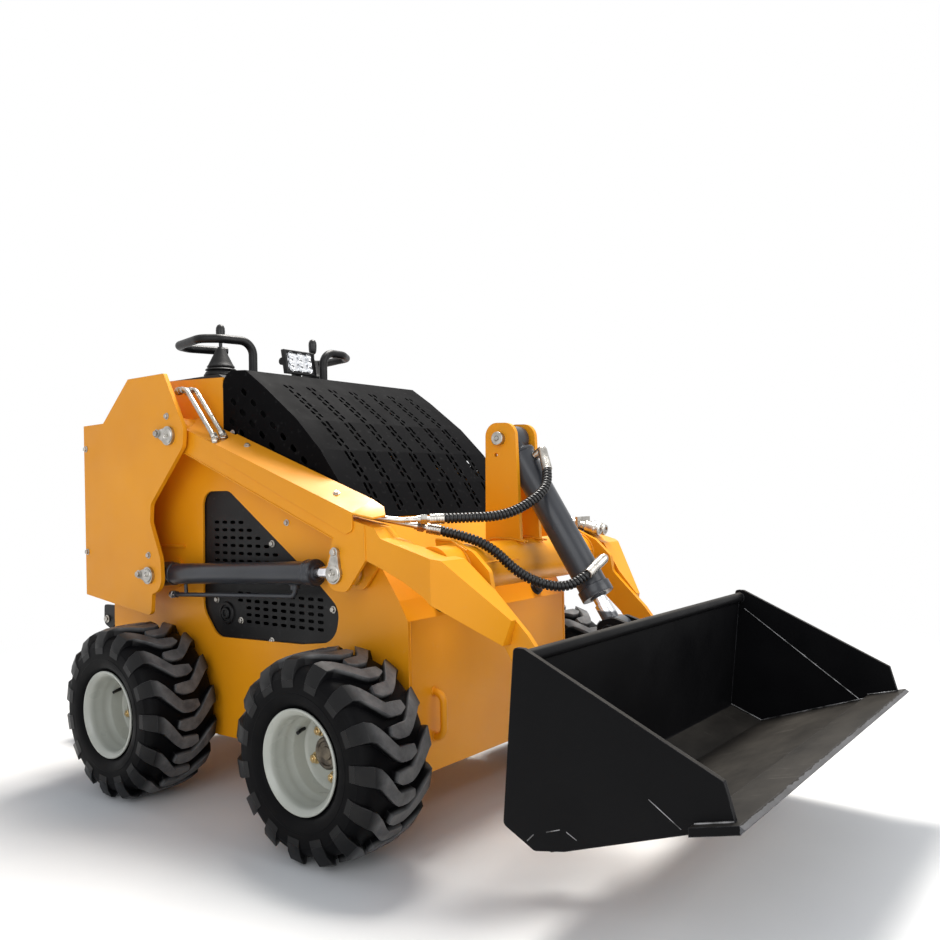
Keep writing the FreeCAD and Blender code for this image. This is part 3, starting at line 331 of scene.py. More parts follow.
paint("yellow_paint", YELLOW, 0.4, 0.06, shine=0.28)
paint("chassis_paint", YELLOW, 0.4, 0.06, shine=0.28, bay_shade=True)
paint("black_paint", BLACK, 0.4, 0.02, 0.12, (0.08, 0.08, 0.08), 0.2, shine=0.22)
paint("hood_paint", BLACK, 0.58, 0.0, 0.12, (0.2, 0.2, 0.2), 0.3, shine=0.02)
paint("rim_paint", ((0.43, 0.44, 0.39), (0.35, 0.36, 0.32)), 0.3, 0.3)
paint("cast", ((0.02, 0.02, 0.021), (0.012, 0.012, 0.013)), 0.7, 0.0, 0.4)
metal("chrome", (0.8, 0.8, 0.82), (0.66, 0.66, 0.68), 0.16)
metal("zinc", (0.56, 0.54, 0.5), (0.33, 0.315, 0.29), 0.3)
metal("brass", (0.72, 0.54, 0.27), (0.5, 0.37, 0.19), 0.36)
metal("hub_dark", (0.2, 0.17, 0.13), (0.08, 0.07, 0.06), 0.5)
metal("weld", (0.36, 0.36, 0.37), (0.06, 0.06, 0.06), 0.4, 40.0)
metal("reflector", (0.85, 0.86, 0.88), (0.7, 0.71, 0.73), 0.28, 90.0)
rubbery("tyre", (0.002, 0.002, 0.0025), (0.005, 0.0048, 0.0045), scale=18.0, shine=0.06)
rubbery("rubber", *SOFT_BLACK)
rubbery("plastic", *SOFT_BLACK, 0.32, grain=0.1, shine=0.35)
rubbery("guard", (0.006, 0.006, 0.0065), (0.012, 0.012, 0.013), 0.36, grain=0.1, shine=0.35)
cylinder_grey()
tread_rubber()
bucket_paint()
tilt_rod_metal()
glassy()

SLOT_OF = {s["node"]: s["material_slot"] for s in frame["record"]["subparts"]}
BETTER = {"bucket_shell": "bucket_paint", "cutting_edge": "bucket_paint", "hitch": "bucket_paint",
          "tilt_rod": "tilt_rod_metal", "chassis_shell": "chassis_paint"}
for name, obj in frame["nodes"].items():
    obj.data.materials.clear()
    obj.data.materials.append(MATS[BETTER.get(name, SLOT_OF[name])])


# Shapes are (points, faces) in the drawing's millimetres: X forward from half way between the axles,
# Y left and Z up
def at(x, y, z):
    return Vector((x / 1000.0 - SHIFT, y / 1000.0, z / 1000.0))


def moved(shape, matrix):
    return [matrix @ p for p in shape[0]], shape[1]


def shifted(shape, x, y, z):
    d = Vector((x, y, z))
    return [p + d for p in shape[0]], shape[1]


def mirrored(shape):
    return [Vector((p.x, -p.y, p.z)) for p in shape[0]], [tuple(reversed(f)) for f in shape[1]]


def both(shapes):
    return list(shapes) + [mirrored(s) for s in shapes]


def circle(steps, start=0.0, stop=360.0):
    """Cosine and sine at even steps of an arc, its angles in degrees."""
    angles = [math.radians(start + (stop - start) * k / steps) for k in range(steps + 1)]
    return [(math.cos(a), math.sin(a)) for a in angles]


def distances(line):
    """Distance along a line at each of its points."""
    runs = [0.0]
    for a, b in zip(line, line[1:]):
        runs.append(runs[-1] + (Vector(b) - Vector(a)).length)
    return runs


def facing(origin, axis, turn=0.0):
    """Matrix whose Z axis lies along axis at origin, turned about it by degrees."""
    z = Vector(axis).normalized()
    x = Vector((0, 0, 1)).cross(z)
    if x.length < 1e-4:
        x = Vector((1, 0, 0))
    x.normalize()
    m = Matrix((x, z.cross(x), z)).transposed().to_4x4()
    m.translation = Vector(origin)
    return m @ Matrix.Rotation(math.radians(turn), 4, "Z")


def lathe(profile, n, place=Matrix.Identity(4), closed=False):
    """Turned form about place's Z axis from (radius, height) points; radius 0 makes a pole."""
    pts, rings = [], []
    for r, h in profile:
        count = 1 if r < 1e-6 else n
        rings.append(list(range(len(pts), len(pts) + count)))
        pts += [Vector((r * c, r * s, h)) for c, s in circle(n)[:count]]
    faces = []
    for a, b in list(zip(rings, rings[1:])) + ([(rings[-1], rings[0])] if closed else []):
        for k in range(n):
            j = (k + 1) % n
            if len(a) == 1:
                faces.append((a[0], b[j], b[k]))
            elif len(b) == 1:
                faces.append((a[k], a[j], b[0]))
            else:
                faces.append((a[k], a[j], b[j], b[k]))
    return moved((pts, faces), place)


def prism(outline, depth):
    """Closed block: a (u, v) outline pushed along +Z by depth."""
    n = len(outline)
    pts = [Vector((u, v, 0)) for u, v in outline] + [Vector((u, v, depth)) for u, v in outline]
    faces = [tuple(reversed(range(n))), tuple(range(n, 2 * n))]
    faces += [(i, (i + 1) % n, n + (i + 1) % n, n + i) for i in range(n)]
    return pts, faces


def tube(line, radius, n):
    """Round bar along a line; radius is a function of the distance along it."""
    line = [Vector(p) for p in line]
    pts, faces = [], []
    side = (line[1] - line[0]).orthogonal()
    for i, (p, run) in enumerate(zip(line, distances(line))):
        ahead = (line[min(i + 1, len(line) - 1)] - line[max(i - 1, 0)]).normalized()
        side = (side - ahead * side.dot(ahead)).normalized()
        over = ahead.cross(side)
        r = radius(run)
        pts += [p + side * (r * c) + over * (r * s) for c, s in circle(n)[:n]]
    for i in range(len(line) - 1):
        for k in range(n):
            j = (k + 1) % n
            faces.append((i * n + k, i * n + j, (i + 1) * n + j, (i + 1) * n + k))
    faces.append(tuple(reversed(range(n))))
    faces.append(tuple(range(len(pts) - n, len(pts))))
    return pts, faces


def bead(points, r, pitch=3.2):
    """Rippled weld bead."""
    pts = [Vector(p) for p in points]
    line = []
    for a, b in zip(pts, pts[1:]):
        steps = max(2, int((b - a).length / (pitch / 2.5)))
        line += [a.lerp(b, k / steps) for k in range(steps)]
    line.append(pts[-1])
    jog = random.random() * 6

    def size(s):
        ripple = abs(math.sin(math.pi * s / pitch + jog))
        return r * (0.8 + 0.22 * ripple + 0.08 * math.sin(s / 17.0 + jog))

    return tube(line, size, 8)


def hexagon(af, h, place, lift=0.0):
    """Nut or bolt head, af wide over its flats and h high, on place's Z axis."""
    r = af / math.sqrt(3)
    head = lathe([(0, 0), (r, 0), (r, h * 0.85), (r * 0.88, h), (0, h)], 6)
    return moved(shifted(head, 0, 0, lift), place)


def bolt(place, af, axis=OUT):
    """Washer and hexagon head."""
    m = facing(place, axis, random.uniform(0, 60))
    washer = [(0, 0), (af * 0.78, 0), (af * 0.78, 1.6), (af * 0.72, 2.0), (0, 2.0)]
    return [lathe(washer, 28, m), hexagon(af, af * 0.42, m, 2.0)]


def slot_hole(u, v, length, width, turn=0.0):
    """Hole with round ends: centre, half length between its ends' centres, radius, direction and outline."""
    r = width / 2
    half = length / 2 - r
    c, s = math.cos(turn), math.sin(turn)
    ring = []
    for sign, base in ((1, -90), (-1, 90)):
        for ca, sa in circle(4, base, base + 180):
            x, y = sign * half + r * ca, r * sa
            ring.append((u + x * c - y * s, v + x * s + y * c))
    return (u, v, half, r, c, s, ring)


def inside(p, outline):
    hit = False
    for (x0, y0), (x1, y1) in zip(outline, outline[1:] + outline[:1]):
        if (y0 > p[1]) != (y1 > p[1]) and p[0] < (x1 - x0) * (p[1] - y0) / (y1 - y0) + x0:
            hit = not hit
    return hit


def pierced(outline, holes, folds=()):
    """Flat sheet in (u, v) with slotted holes. folds are pairs of (u, v) points kept as edges."""
    cell = 30
    pts, edges = [], []
    for ring in [outline] + [hole[6] for hole in holes]:
        base, n = len(pts), len(ring)
        pts += [Vector(p) for p in ring]
        edges += [(base + i, base + (i + 1) % n) for i in range(n)]
    for a, b in folds:
        edges.append((len(pts), len(pts) + 1))
        pts += [Vector(a), Vector(b)]
    flat, _, tris, *_ = delaunay_2d_cdt(pts, edges, [], 0, 1e-5)
    grid = {}
    for hole in holes:
        for du in (-1, 0, 1):
            for dv in (-1, 0, 1):
                grid.setdefault((int(hole[0] // cell) + du, int(hole[1] // cell) + dv), []).append(hole)
    keep = []
    for tri in tris:
        mid = sum((flat[i] for i in tri), Vector((0, 0))) / 3
        if not inside(mid, outline):
            continue
        for u, v, half, r, c, s, _ in grid.get((int(mid.x // cell), int(mid.y // cell)), ()):
            x, y = (mid.x - u) * c + (mid.y - v) * s, -(mid.x - u) * s + (mid.y - v) * c
            if math.hypot(max(abs(x) - half, 0), y) < r * 0.97:
                break
        else:
            keep.append(tuple(tri))
    n = len(flat)
    out = [Vector((p.x, p.y, 0)) for p in flat] + [Vector((p.x, p.y, SHEET)) for p in flat]
    faces = [tuple(reversed(t)) for t in keep] + [tuple(i + n for i in t) for t in keep]
    used = dict.fromkeys((a, b) for t in keep for a, b in zip(t, t[1:] + t[:1]))
    faces += [(a, b, b + n, a + n) for a, b in used if (b, a) not in used]
    return out, faces


def upright(sheet, y):
    """Sheet drawn in (x, z) and stood up at y."""
    return [Vector((p.x, y + p.z, p.y)) for p in sheet[0]], [tuple(reversed(f)) for f in sheet[1]]


def make(name, shapes, body, mat, smooth=35, replaces=None):
    """One piece of the scene from shapes in millimetres."""
    pts, faces = [], []
    for p, f in shapes:
        base = len(pts)
        pts += [at(*q) for q in p]
        faces += [tuple(i + base for i in face) for face in f]
    me = bpy.data.meshes.new(name)
    me.from_pydata(pts, [], faces)
    me.validate()
    me.shade_smooth()
    me.set_sharp_from_angle(angle=math.radians(smooth))
    me.materials.append(MATS[mat])
    obj = add(name, me)
    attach(obj, body)
    if replaces:
        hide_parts(replaces)
    return obj


SIDES = (("right", -1), ("left", 1))
UP = (0, 0, 1)

# Wheels, outer side toward -Y, axis along Y
ABOUT_Y = Matrix.Rotation(math.radians(-90), 4, "X")


def carcass():
    half = [(88, 104), (91.3, 106), (91.3, 116.9), (93, 119.6), (99, 124.5), (103.2, 132), (105.3, 142),
            (105.9, 150), (105.2, 151), (105.4, 163), (104.7, 174), (103.2, 184), (102.6, 184.6),
            (100, 192), (95, 199), (86, 204.5), (72, 208.5), (50, 211), (24, 212)]
    line = [(r, -y) for y, r in half] + [(r, y) for y, r in half[::-1]]
    return [lathe(line, 120, ABOUT_Y)]


# Outer radius of a lug against the distance from the tyre's middle
CROWN = [(0, 232.3), (40, 231.9), (66, 230.2), (84, 226.5), (96, 219), (103, 209), (106.3, 199), (106.4, 190)]
# Sections of a lug: distance from the tyre's middle, then its two flanks along the tread
LUG = [(32, -1, -6), (27.5, 14, -9), (13, 15.5, -16.5), (-4, 16.5, -17), (-17, 17, -15.5), (-24, 23, -11),
       (-34, 34, -3), (-46, 49, 9), (-60, 66, 23), (-75, 82, 38), (-90, 90, 44), (-102, 93, 46),
       (-106.3, 94, 47)]
# How far each section's top lies below the crown
LUG_SINK = [0] * 11 + [9, 19]
LUG_PAIRS = 15
LUG_START = ((-1, 8.6), (1, 20.6))


def crown(off):
    for (c0, r0), (c1, r1) in zip(CROWN, CROWN[1:]):
        if off <= c1:
            return r0 + (r1 - r0) * (off - c0) / (c1 - c0)
    return CROWN[-1][1]


def lug(side, turn):
    """Tread lug in sections from its head to the shoulder."""
    pts, faces = [], []
    round_off, foot = 1.3, 1.4
    for (a, up, low), sink in zip(LUG, LUG_SINK):
        top = crown(abs(a)) - sink
        root = top - 16 if abs(a) > 95 else min(top - 6, 200 if abs(a) > 70 else 207)
        mid, half = (up + low) / 2, (up - low) / 2
        for spread, r in ((half + foot, root), (half, top - round_off), (half - round_off, top),
                          (-half + round_off, top), (-half, top - round_off), (-half - foot, root)):
            ang = math.radians(turn) + (mid + spread) / TYRE_R
            pts.append(Vector((r * math.cos(ang), -side * a, r * math.sin(ang))))
    for i in range(len(LUG) - 1):
        for k in range(5):
            p = i * 6 + k
            faces.append((p, p + 1, p + 7, p + 6))
    faces.append(tuple(range(6)))
    faces.append(tuple(reversed(range(len(pts) - 6, len(pts)))))
    if side > 0:
        faces = [tuple(reversed(f)) for f in faces]
    return pts, faces


def lugs():
    return [lug(side, start + 360 / LUG_PAIRS * i) for i in range(LUG_PAIRS) for side, start in LUG_START]


def rim():
    h, flat = RIM_H, 102.6
    line = [(-h + 5, RIM_R - 0.6), (-h + 1.5, RIM_R), (-h, RIM_R - 2), (-h, RIM_R - 4.5),
            (-h + 2, RIM_R - 7), (-94, 103), (-88, 99.5), (-78, 98.3), (-68, 98.3), (-64, 96.6), (-52, 96),
            (-44, 95.4), (-36, 91), (-31, 88.8), (40, 88.5), (50, 97), (90, 98), (h, RIM_R - 4), (h, RIM_R),
            (h - 5, RIM_R), (h - 9, flat), (50, flat), (42, 94), (-32, 94), (-42, flat), (-h + 9, flat)]
    y = DISC_Y
    disc = [(90, y - 5), (86, y - 2), (82, y), (72, y + 0.5), (66, y - 1.5), (HUB_HOLE, y - 1.5),
            (HUB_HOLE, y + 5), (90, y + 5)]
    return [lathe([(r, y) for y, r in line], 96, ABOUT_Y, closed=True), lathe(disc, 72, ABOUT_Y, closed=True)]


def spot(angle, r, y):
    a = math.radians(angle)
    return (r * math.cos(a), y, r * math.sin(a))


def wheel_nuts():
    out = []
    for i in range(NUTS):
        m = facing(spot(NUT_TURN + 360 / NUTS * i, NUT_CIRCLE, DISC_Y - 1.5), OUT, 17 * i)
        out.append(lathe([(0, 0), (14, 0), (13, 2.5), (9.5, 4), (0, 4)], 24, m))
        out.append(hexagon(19, 8.5, m, 3.5))
        out.append(lathe([(0, 10), (5.6, 10), (5.6, 15), (4.6, 16), (0, 16)], 16, m))
    return out


def wheel_hub():
    y = -DISC_Y
    line = [(0, -116), (46, -116), (46, y - 17), (62, y - 17), (62, y - 5.2), (37.6, y - 5.2), (37.6, y + 15),
            (37, y + 18), (33, y + 21.5), (28, y + 21), (26, y + 18), (16, y + 18), (14, y + 21), (0, y + 21)]
    return [lathe(line, 48, ABOUT_Y.inverted())]


def valve():
    tip = Vector(spot(150, 80, DISC_Y - 42))
    foot = Vector(spot(150, 89, DISC_Y - 16))
    return [tube([foot, foot.lerp(tip, 0.5), tip], lambda s: 5.6 if s < 12 else 4.2, 12)]


def wheels():
    for end, x in (("front", AXLE_X), ("rear", -AXLE_X)):
        for side_name, side in SIDES:
            key = end + "_" + side_name
            for label, shapes, mat, slot, smooth, gone in (
                    ("carcass", carcass(), "tyre", "tyre", 32, "tyre_"),
                    ("tread", lugs(), "tread", "tyre", 20, ""),
                    ("rim_dish", rim(), "rim_paint", "rim_paint", 30, "rim_"),
                    ("wheel_nuts", wheel_nuts(), "brass", "zinc", 30, ""),
                    ("wheel_hub", wheel_hub(), "hub_dark", "zinc", 30, "hub_"),
                    ("valve", valve(), "rubber", "rubber", 40, "")):
                if side > 0:
                    shapes = [mirrored(s) for s in shapes]
                placed = [shifted(s, x, side * TRACK_HALF, TYRE_R) for s in shapes]
                make(label + "_" + key, placed, "wheel_" + key, mat, smooth, gone and gone + key)


wheels()


# Hood: sheet with staggered slots, drawn flat and folded along its lines
def folded(sheet, line):
    """Map (run, y, w) points to the folded sheet whose inner face follows an (x, z) line."""
    bends = [Vector(p) for p in line]
    runs = distances(bends)
    square = []
    for a, b in zip(bends, bends[1:]):
        way = (b - a).normalized()
        square.append(Vector((-way.y, way.x)))
    mitre = []
    for before, after in zip(square[:1] + square, square + square[-1:]):
        n = (before + after).normalized()
        mitre.append(n / n.dot(before))
    out = []
    for p in sheet[0]:
        s = min(max(p.x, 0.0), runs[-1])
        i = 0
        while i < len(runs) - 2 and s > runs[i + 1] + 1e-6:
            i += 1
        t = (s - runs[i]) / (runs[i + 1] - runs[i])
        n = square[i]
        if t < 1e-4:
            n = mitre[i]
        elif t > 1 - 1e-4:
            n = mitre[i + 1]
        q = bends[i].lerp(bends[i + 1], t) + n * p.z
        out.append(Vector((q.x, p.y, q.y)))
    return out, sheet[1]


def hood_holes(runs):
    """Rows of slots in staggered pairs, kept off the folds."""
    holes = []
    row_pitch, slot_pitch, clear = 82.0, 26, 11.5
    for row in range(7):
        y = (row - 3) * row_pitch
        for k in range(22):
            for off, step in ((-8.5, 0), (8.5, slot_pitch / 2)):
                run = runs[5] - 14 + slot_pitch * k + step
                if run > runs[-1] - 16:
                    continue
                fold = min(runs, key=lambda r: abs(r - run))
                if abs(run - fold) < 11:
                    run = fold + (clear if run > fold else -clear)
                holes.append(slot_hole(run, y + off, 20.5, 10.5))
    return holes


def hood_side_holes():
    """Slots of a side panel, in lines along its slope."""
    (rear, _), (front, front_z) = HOOD[0], HOOD[-1]
    holes = []
    ahead = Vector((40, -33)).normalized()
    down = Vector((ahead.y, -ahead.x))
    for col in range(3):
        for k in range(11):
            p = Vector((-61, 1092)) + ahead * (50 * k - 20 * col) + down * (46 * col)
            edge = HOOD_LOW_Z + (front_z - HOOD_LOW_Z) * (p.x - rear) / (front - rear)
            if p.y > edge + 20 and p.x > -128:
                holes.append(slot_hole(p.x, p.y, 27, 14.5, math.atan2(ahead.y, ahead.x)))
    return holes


def hood():
    runs = distances(HOOD)
    w = SIDE_Y
    outline = [(0, -w), (runs[-1], -w), (runs[-1], w), (0, w)]
    top = folded(pierced(outline, hood_holes(runs), [((s, -w), (s, w)) for s in runs[1:-1]]), HOOD)
    side = pierced(HOOD + [(HOOD[0][0], HOOD_LOW_Z)], hood_side_holes())
    return [top] + both([upright(side, -SIDE_Y)])


make("hood_sheet", hood(), "chassis", "hood_paint", 20, "hood_guard")


# Perforated guards behind the side windows, with a plug on each
GUARD_Y = PLATE - SIDE_Y


def guards():
    outline = [(-262, 845), (-110, 845), (240, 610), (318, 540), (300, 430), (160, 420), (-205, 410),
               (-268, 490)]
    pitch = 34.7
    spots = []
    for k in range(10):
        for z in (552, 533, 514.5, 496, 477.5):
            x = -98 + pitch * k
            if x < 268 and not (x < -90 and z < 530):
                spots.append((x, z))
    for k in range(8):
        for j in range(8):
            x, z = -196 + pitch * k, 596 + 21 * j
            if z < 787 - 0.679 * (x + 130):
                spots.append((x, z))
    panel = pierced(outline, [slot_hole(x, z, 22, 8.5) for x, z in spots])
    plug = [(0, -1), (31, -1), (31, 3), (29, 5.5), (23, 6), (21.5, 2.5), (17, 2.5), (16, 8), (14, 9.5),
            (9, 9.5), (8, 6), (0, 6)]
    return both([upright(panel, GUARD_Y), lathe(plug, 40, facing((-155, GUARD_Y, 495), OUT))])


make("guard_sheets", guards(), "chassis", "black_paint", smooth=25, replaces="side_guards")


# Pins: turned heads, grease nipples and keeper bolts
def pin_face(xz, y, r):
    m = facing((xz[0], y, xz[1]), OUT)
    head = [(0, -1), (r, -1), (r, 1.2), (r - 1.5, 2.6), (r * 0.55, 2.6), (r * 0.45, 0.6), (5, 0.6), (0, 0.6)]
    nipple = [(0, 3), (2.4, 3), (2.4, 6), (3.2, 6.6), (3.2, 8), (1.8, 9.4), (0, 9.6)]
    return [lathe(head, 36, m), hexagon(8, 3.5, m, 0.4), lathe(nipple, 16, m)]


def tower_hardware():
    face = -TOWER_Y - PLATE
    out = pin_face(PIVOT, face, 22) + pin_face(BASE_PIN, face, 19)
    out += bolt((PIVOT[0] - 46, face, PIVOT[1] + 8), 15)
    out += bolt((BASE_PIN[0] - 40, face, BASE_PIN[1] + 2), 15)
    for x, z in ((-691, 963), (-688, 654), (-275, 1036), (-369, 653)):
        out += bolt((x, -TOWER_Y, z), 12)
    return both(out)


make("tower_bolts", tower_hardware(), "chassis", "zinc")


# The right arm's lid slopes away from this (x, z) point on the arm's inner side
LID = (-83, 981)


def roof_z(x, y):
    return LID[1] - ARM_FALL * (x - LID[0]) + ROOF_SLOPE * (y + ARM_IN_Y)


LID_UP = Vector((ARM_FALL, -ROOF_SLOPE, 1)).normalized()


def arm_hardware():
    face = -ARM_OUT_Y - PLATE
    out = pin_face(ROD_PIN, face, 20)
    out += bolt((ROD_PIN[0] + 6, face, ROD_PIN[1] + 50), 15)
    for x, inward in ((-12, 42), (330, 30)):
        y = inward - ARM_OUT_Y
        out += bolt((x, y, roof_z(x, y)), 11, LID_UP)
    return both(out + pin_face(HINGE, -HAND_Y - 20, 15))


make("arm_bolts", arm_hardware(), "boom", "zinc")


def ear_hardware():
    out = []
    head = [(0, -1), (17, -1), (17, 2.4), (15.5, 3.8), (7, 3.8), (6, 2.4), (0, 2.4)]
    for _, side in SIDES:
        m = facing((EAR_PIN[0], side * 61, EAR_PIN[1]), (0, side, 0))
        out += [lathe(head, 32, m), hexagon(9, 4, m, 2.4)]
    return out


make("ear_pin_ends", ear_hardware(), "boom", "zinc")


# On the outer face of the stand board's bracket
BRACKET_BOLT = (-752, -333.5, 436)


def chassis_bolts():
    out = []
    for x, z in ((-198, 529), (-95, 478), (260, 531), (36, 688), (30, 434)):
        out += bolt((x, GUARD_Y, z), 12)
    for x, z in ((-110, 985), (60, 905), (250, 838), (103, 744)):
        out += bolt((x, -SIDE_Y, z), 11)
    out += bolt(BRACKET_BOLT, 15)
    return both(out)


make("panel_bolts", chassis_bolts(), "chassis", "zinc")


# Bump stops on the slope over the nose, whose edges are (x, z) points
NOSE_LOW, NOSE_HIGH = (511, 520.6), (484, 566.7)
STOP_Y = -210


def stops():
    (x0, z0), (x1, z1) = NOSE_LOW, NOSE_HIGH
    line = [(0, 0), (19, 0), (19, 3), (17, 4), (16, 6), (17.5, 8), (17, 12), (13, 15), (0, 15.3)]
    return both([lathe(line, 36, facing(((x0 + x1) / 2, STOP_Y, (z0 + z1) / 2), (z1 - z0, 0, x0 - x1)))])


make("bump_rubbers", stops(), "chassis", "rubber", smooth=40, replaces="bump_stops")


# Lift cylinders: gland rings, weld rings, ports and line nuts
def unit(a, b):
    return Vector((b[0] - a[0], 0, b[1] - a[1])).normalized()


LIFT_U = unit(BASE_PIN, ROD_PIN)
LIFT_DOWN = Vector((LIFT_U.z, 0, -LIFT_U.x))
LIFT_LINE_Y = (ARM_IN_Y + ARM_OUT_Y) / 2


def lift_rings(base):
    m = facing(base, LIFT_U)
    gland = [(28.4, 592), (33.4, 594), (33.4, 600), (32.6, 601), (32.6, 604), (33.4, 605), (33.4, 620),
             (31, 623), (20, 623), (20, 619)]
    out = [lathe([(28.4, 40), (31, 42), (31.6, 45), (30, 48), (28.4, 49)], 48, m),
           lathe(gland, 48, m),
           lathe([(28.4, 586), (30.2, 587), (30.2, 590), (28.4, 591)], 48, m),
           lathe([(22, 620), (21.5, 625), (19, 627), (15.4, 627), (15.4, 622)], 40, m)]
    port = base + LIFT_U * 542 + LIFT_DOWN * 28.6
    out.append(bead([port + Vector((13 * c, 13 * s, 0)) for c, s in circle(16)], 2.2))
    return out


def lift_nuts(base):
    end = base + LIFT_DOWN * 58
    out = [hexagon(wide, 9, facing(end + LIFT_U * d, LIFT_U)) for d, wide in ((27, 20), (38, 17))]
    out.append(lathe([(0, 0), (7.6, 0), (7.6, 6), (0, 6)], 20, facing(end + LIFT_U * 19, LIFT_U)))
    return out


def rod_washers(y):
    line = [(17, 0), (33, 0), (33, 1.2), (31.5, 1.8), (17, 1.8)]
    places = [facing((ROD_PIN[0], y + d * 20, ROD_PIN[1]), (0, d, 0)) for d in (-1, 1)]
    return [lathe(line, 40, place, closed=True) for place in places]


for side_name, side in SIDES:
    pin = Vector((BASE_PIN[0], side * LIFT_LINE_Y, BASE_PIN[1]))
    make("lift_rings_" + side_name, lift_rings(pin), "lift_barrel_" + side_name, "grey_paint")
    make("line_nuts_" + side_name, lift_nuts(pin), "lift_barrel_" + side_name, "zinc")
    make("rod_washers_" + side_name, rod_washers(pin.y), "lift_rod_" + side_name, "zinc")


# Tilt cylinder
def tilt_rings():
    m = facing((EAR_PIN[0], 0, EAR_PIN[1]), unit(EAR_PIN, TILT_EYE))
    gland = [(36.4, 428), (40.6, 430), (40.6, 435), (39.6, 436), (39.6, 438), (40.6, 439), (40.6, 452),
             (38.5, 455.5), (22, 455.5), (22, 451)]
    return [lathe([(36.4, 42), (39.5, 44), (40.2, 48), (38, 52), (36.4, 53)], 56, m),
            lathe(gland, 56, m),
            lathe([(22, 452), (21.5, 458), (19, 460), (16.4, 460), (16.4, 454)], 40, m)]


make("tilt_rings", tilt_rings(), "tilt_barrel", "grey_paint")


# Hoses with spiral guards
HOSES = {
    "upper": [(549.2, -299.8, 754.0), (600.6, -252.7, 755.1), (668, -170, 757), (703, -100, 792),
              (708.2, -34.3, 835.0), (676.8, -9.9, 892.2)],
    "lower": [(533.2, -291.8, 732.9), (589.2, -252.8, 718.6), (655, -212, 690), (705, -170, 622),
              (765, -120, 590), (806.5, -78.2, 598.1), (823.9, -22.6, 636.4)],
}
HOSE_D = 0.0176
# The guard in millimetres: radii, turn to turn, gap between turns, and bare hose at each end
COIL_IN, COIL_OUT, COIL_PITCH, COIL_GAP, COIL_BARE = 8.4, 12.0, 8.8, 1.8, 36.0


def route_curve(name, route):
    """The route as a NURBS spline, its points as the control points."""
    curve = bpy.data.curves.new(name, "CURVE")
    curve.dimensions = "3D"
    spline = curve.splines.new("NURBS")
    spline.points.add(len(route) - 1)
    for i, p in enumerate(route):
        spline.points[i].co = (*at(*p), 1)
    spline.order_u = 3
    spline.use_endpoint_u = True
    return curve


def read_line(curve):
    """Points read from the spline with no bevel, in the drawing's millimetres."""
    bare = curve.copy()
    bare.resolution_u = 96
    obj = bpy.data.objects.new("bare_line", bare)
    mesh = bpy.data.meshes.new_from_object(obj)
    line = [(v.co - at(0, 0, 0)) * 1000.0 for v in mesh.vertices]
    bpy.data.objects.remove(obj)
    bpy.data.meshes.remove(mesh)
    bpy.data.curves.remove(bare)
    return line


def guard_coil(line):
    """Flat strip wound round the hose with a narrow gap between its turns."""
    run = distances(line)
    length = run[-1]
    per_turn = 16
    count = int((length - 2 * COIL_BARE) / COIL_PITCH * per_turn)
    side = (line[1] - line[0]).orthogonal()
    frames = []
    for i in range(len(line)):
        ahead = (line[min(i + 1, len(line) - 1)] - line[max(i - 1, 0)]).normalized()
        side = (side - ahead * side.dot(ahead)).normalized()
        frames.append((side, ahead.cross(side)))

    def place(s, r, a):
        s = min(max(s, 0.0), length)
        lo, hi = 0, len(run) - 1
        while hi - lo > 1:
            mid = (lo + hi) // 2
            lo, hi = (mid, hi) if run[mid] <= s else (lo, mid)
        p = line[lo].lerp(line[hi], (s - run[lo]) / max(run[hi] - run[lo], 1e-9))
        u, v = frames[lo]
        return p + u * (r * math.cos(a)) + v * (r * math.sin(a))

    half = (COIL_PITCH - COIL_GAP) / 2
    section = [(-half, COIL_IN), (-half + 0.4, COIL_OUT - 0.7), (-half / 2, COIL_OUT), (half / 2, COIL_OUT),
               (half - 0.4, COIL_OUT - 0.7), (half, COIL_IN)]
    pts, faces = [], []
    for k in range(count + 1):
        for ds, r in section:
            pts.append(place(COIL_BARE + COIL_PITCH * k / per_turn + ds, r, 2 * math.pi * k / per_turn))
    n = len(section)
    for k in range(count):
        for j in range(n):
            jj = (j + 1) % n
            faces.append((k * n + jj, (k + 1) * n + jj, (k + 1) * n + j, k * n + j))
    faces.append(tuple(range(n)))
    faces.append(tuple(reversed(range(len(pts) - n, len(pts)))))
    return pts, faces


def ferrule(place, away):
    """Crimped hose end with its nut, from the hose's face along away."""
    line = [(0, -1), (12.2, -1), (12.6, 1)]
    for h in range(0, 30, 6):
        line += [(12.6, h + 2), (11.8, h + 3.5), (11.8, h + 5), (12.6, h + 6.5)]
    line += [(12.2, 32), (10, 33.5), (0, 33.5)]
    return lathe(line, 36, facing(place, away))


def hoses():
    for name, route in HOSES.items():
        curve = route_curve("hose_line_" + name, route)
        line = read_line(curve)
        curve.bevel_depth = HOSE_D / 2
        curve.bevel_resolution = 5
        curve.use_fill_caps = True
        curve.resolution_u = 24
        curve.materials.append(MATS["rubber"])
        obj = add("rubber_hose_" + name, curve)
        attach(obj, "boom")
        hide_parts("hose_" + name)
        guard = make("spiral_guard_" + name, [guard_coil(line)], "boom", "guard", 50)
        first, second, before, last = (Vector(route[i]) for i in (0, 1, -2, -1))
        ends = [ferrule(first, second - first), ferrule(last, before - last)]
        crimp = make("hose_ends_" + name, ends, "boom", "zinc")


hoses()


# Joystick boots and grips
STICK_X, STICK_Y = -360, 186


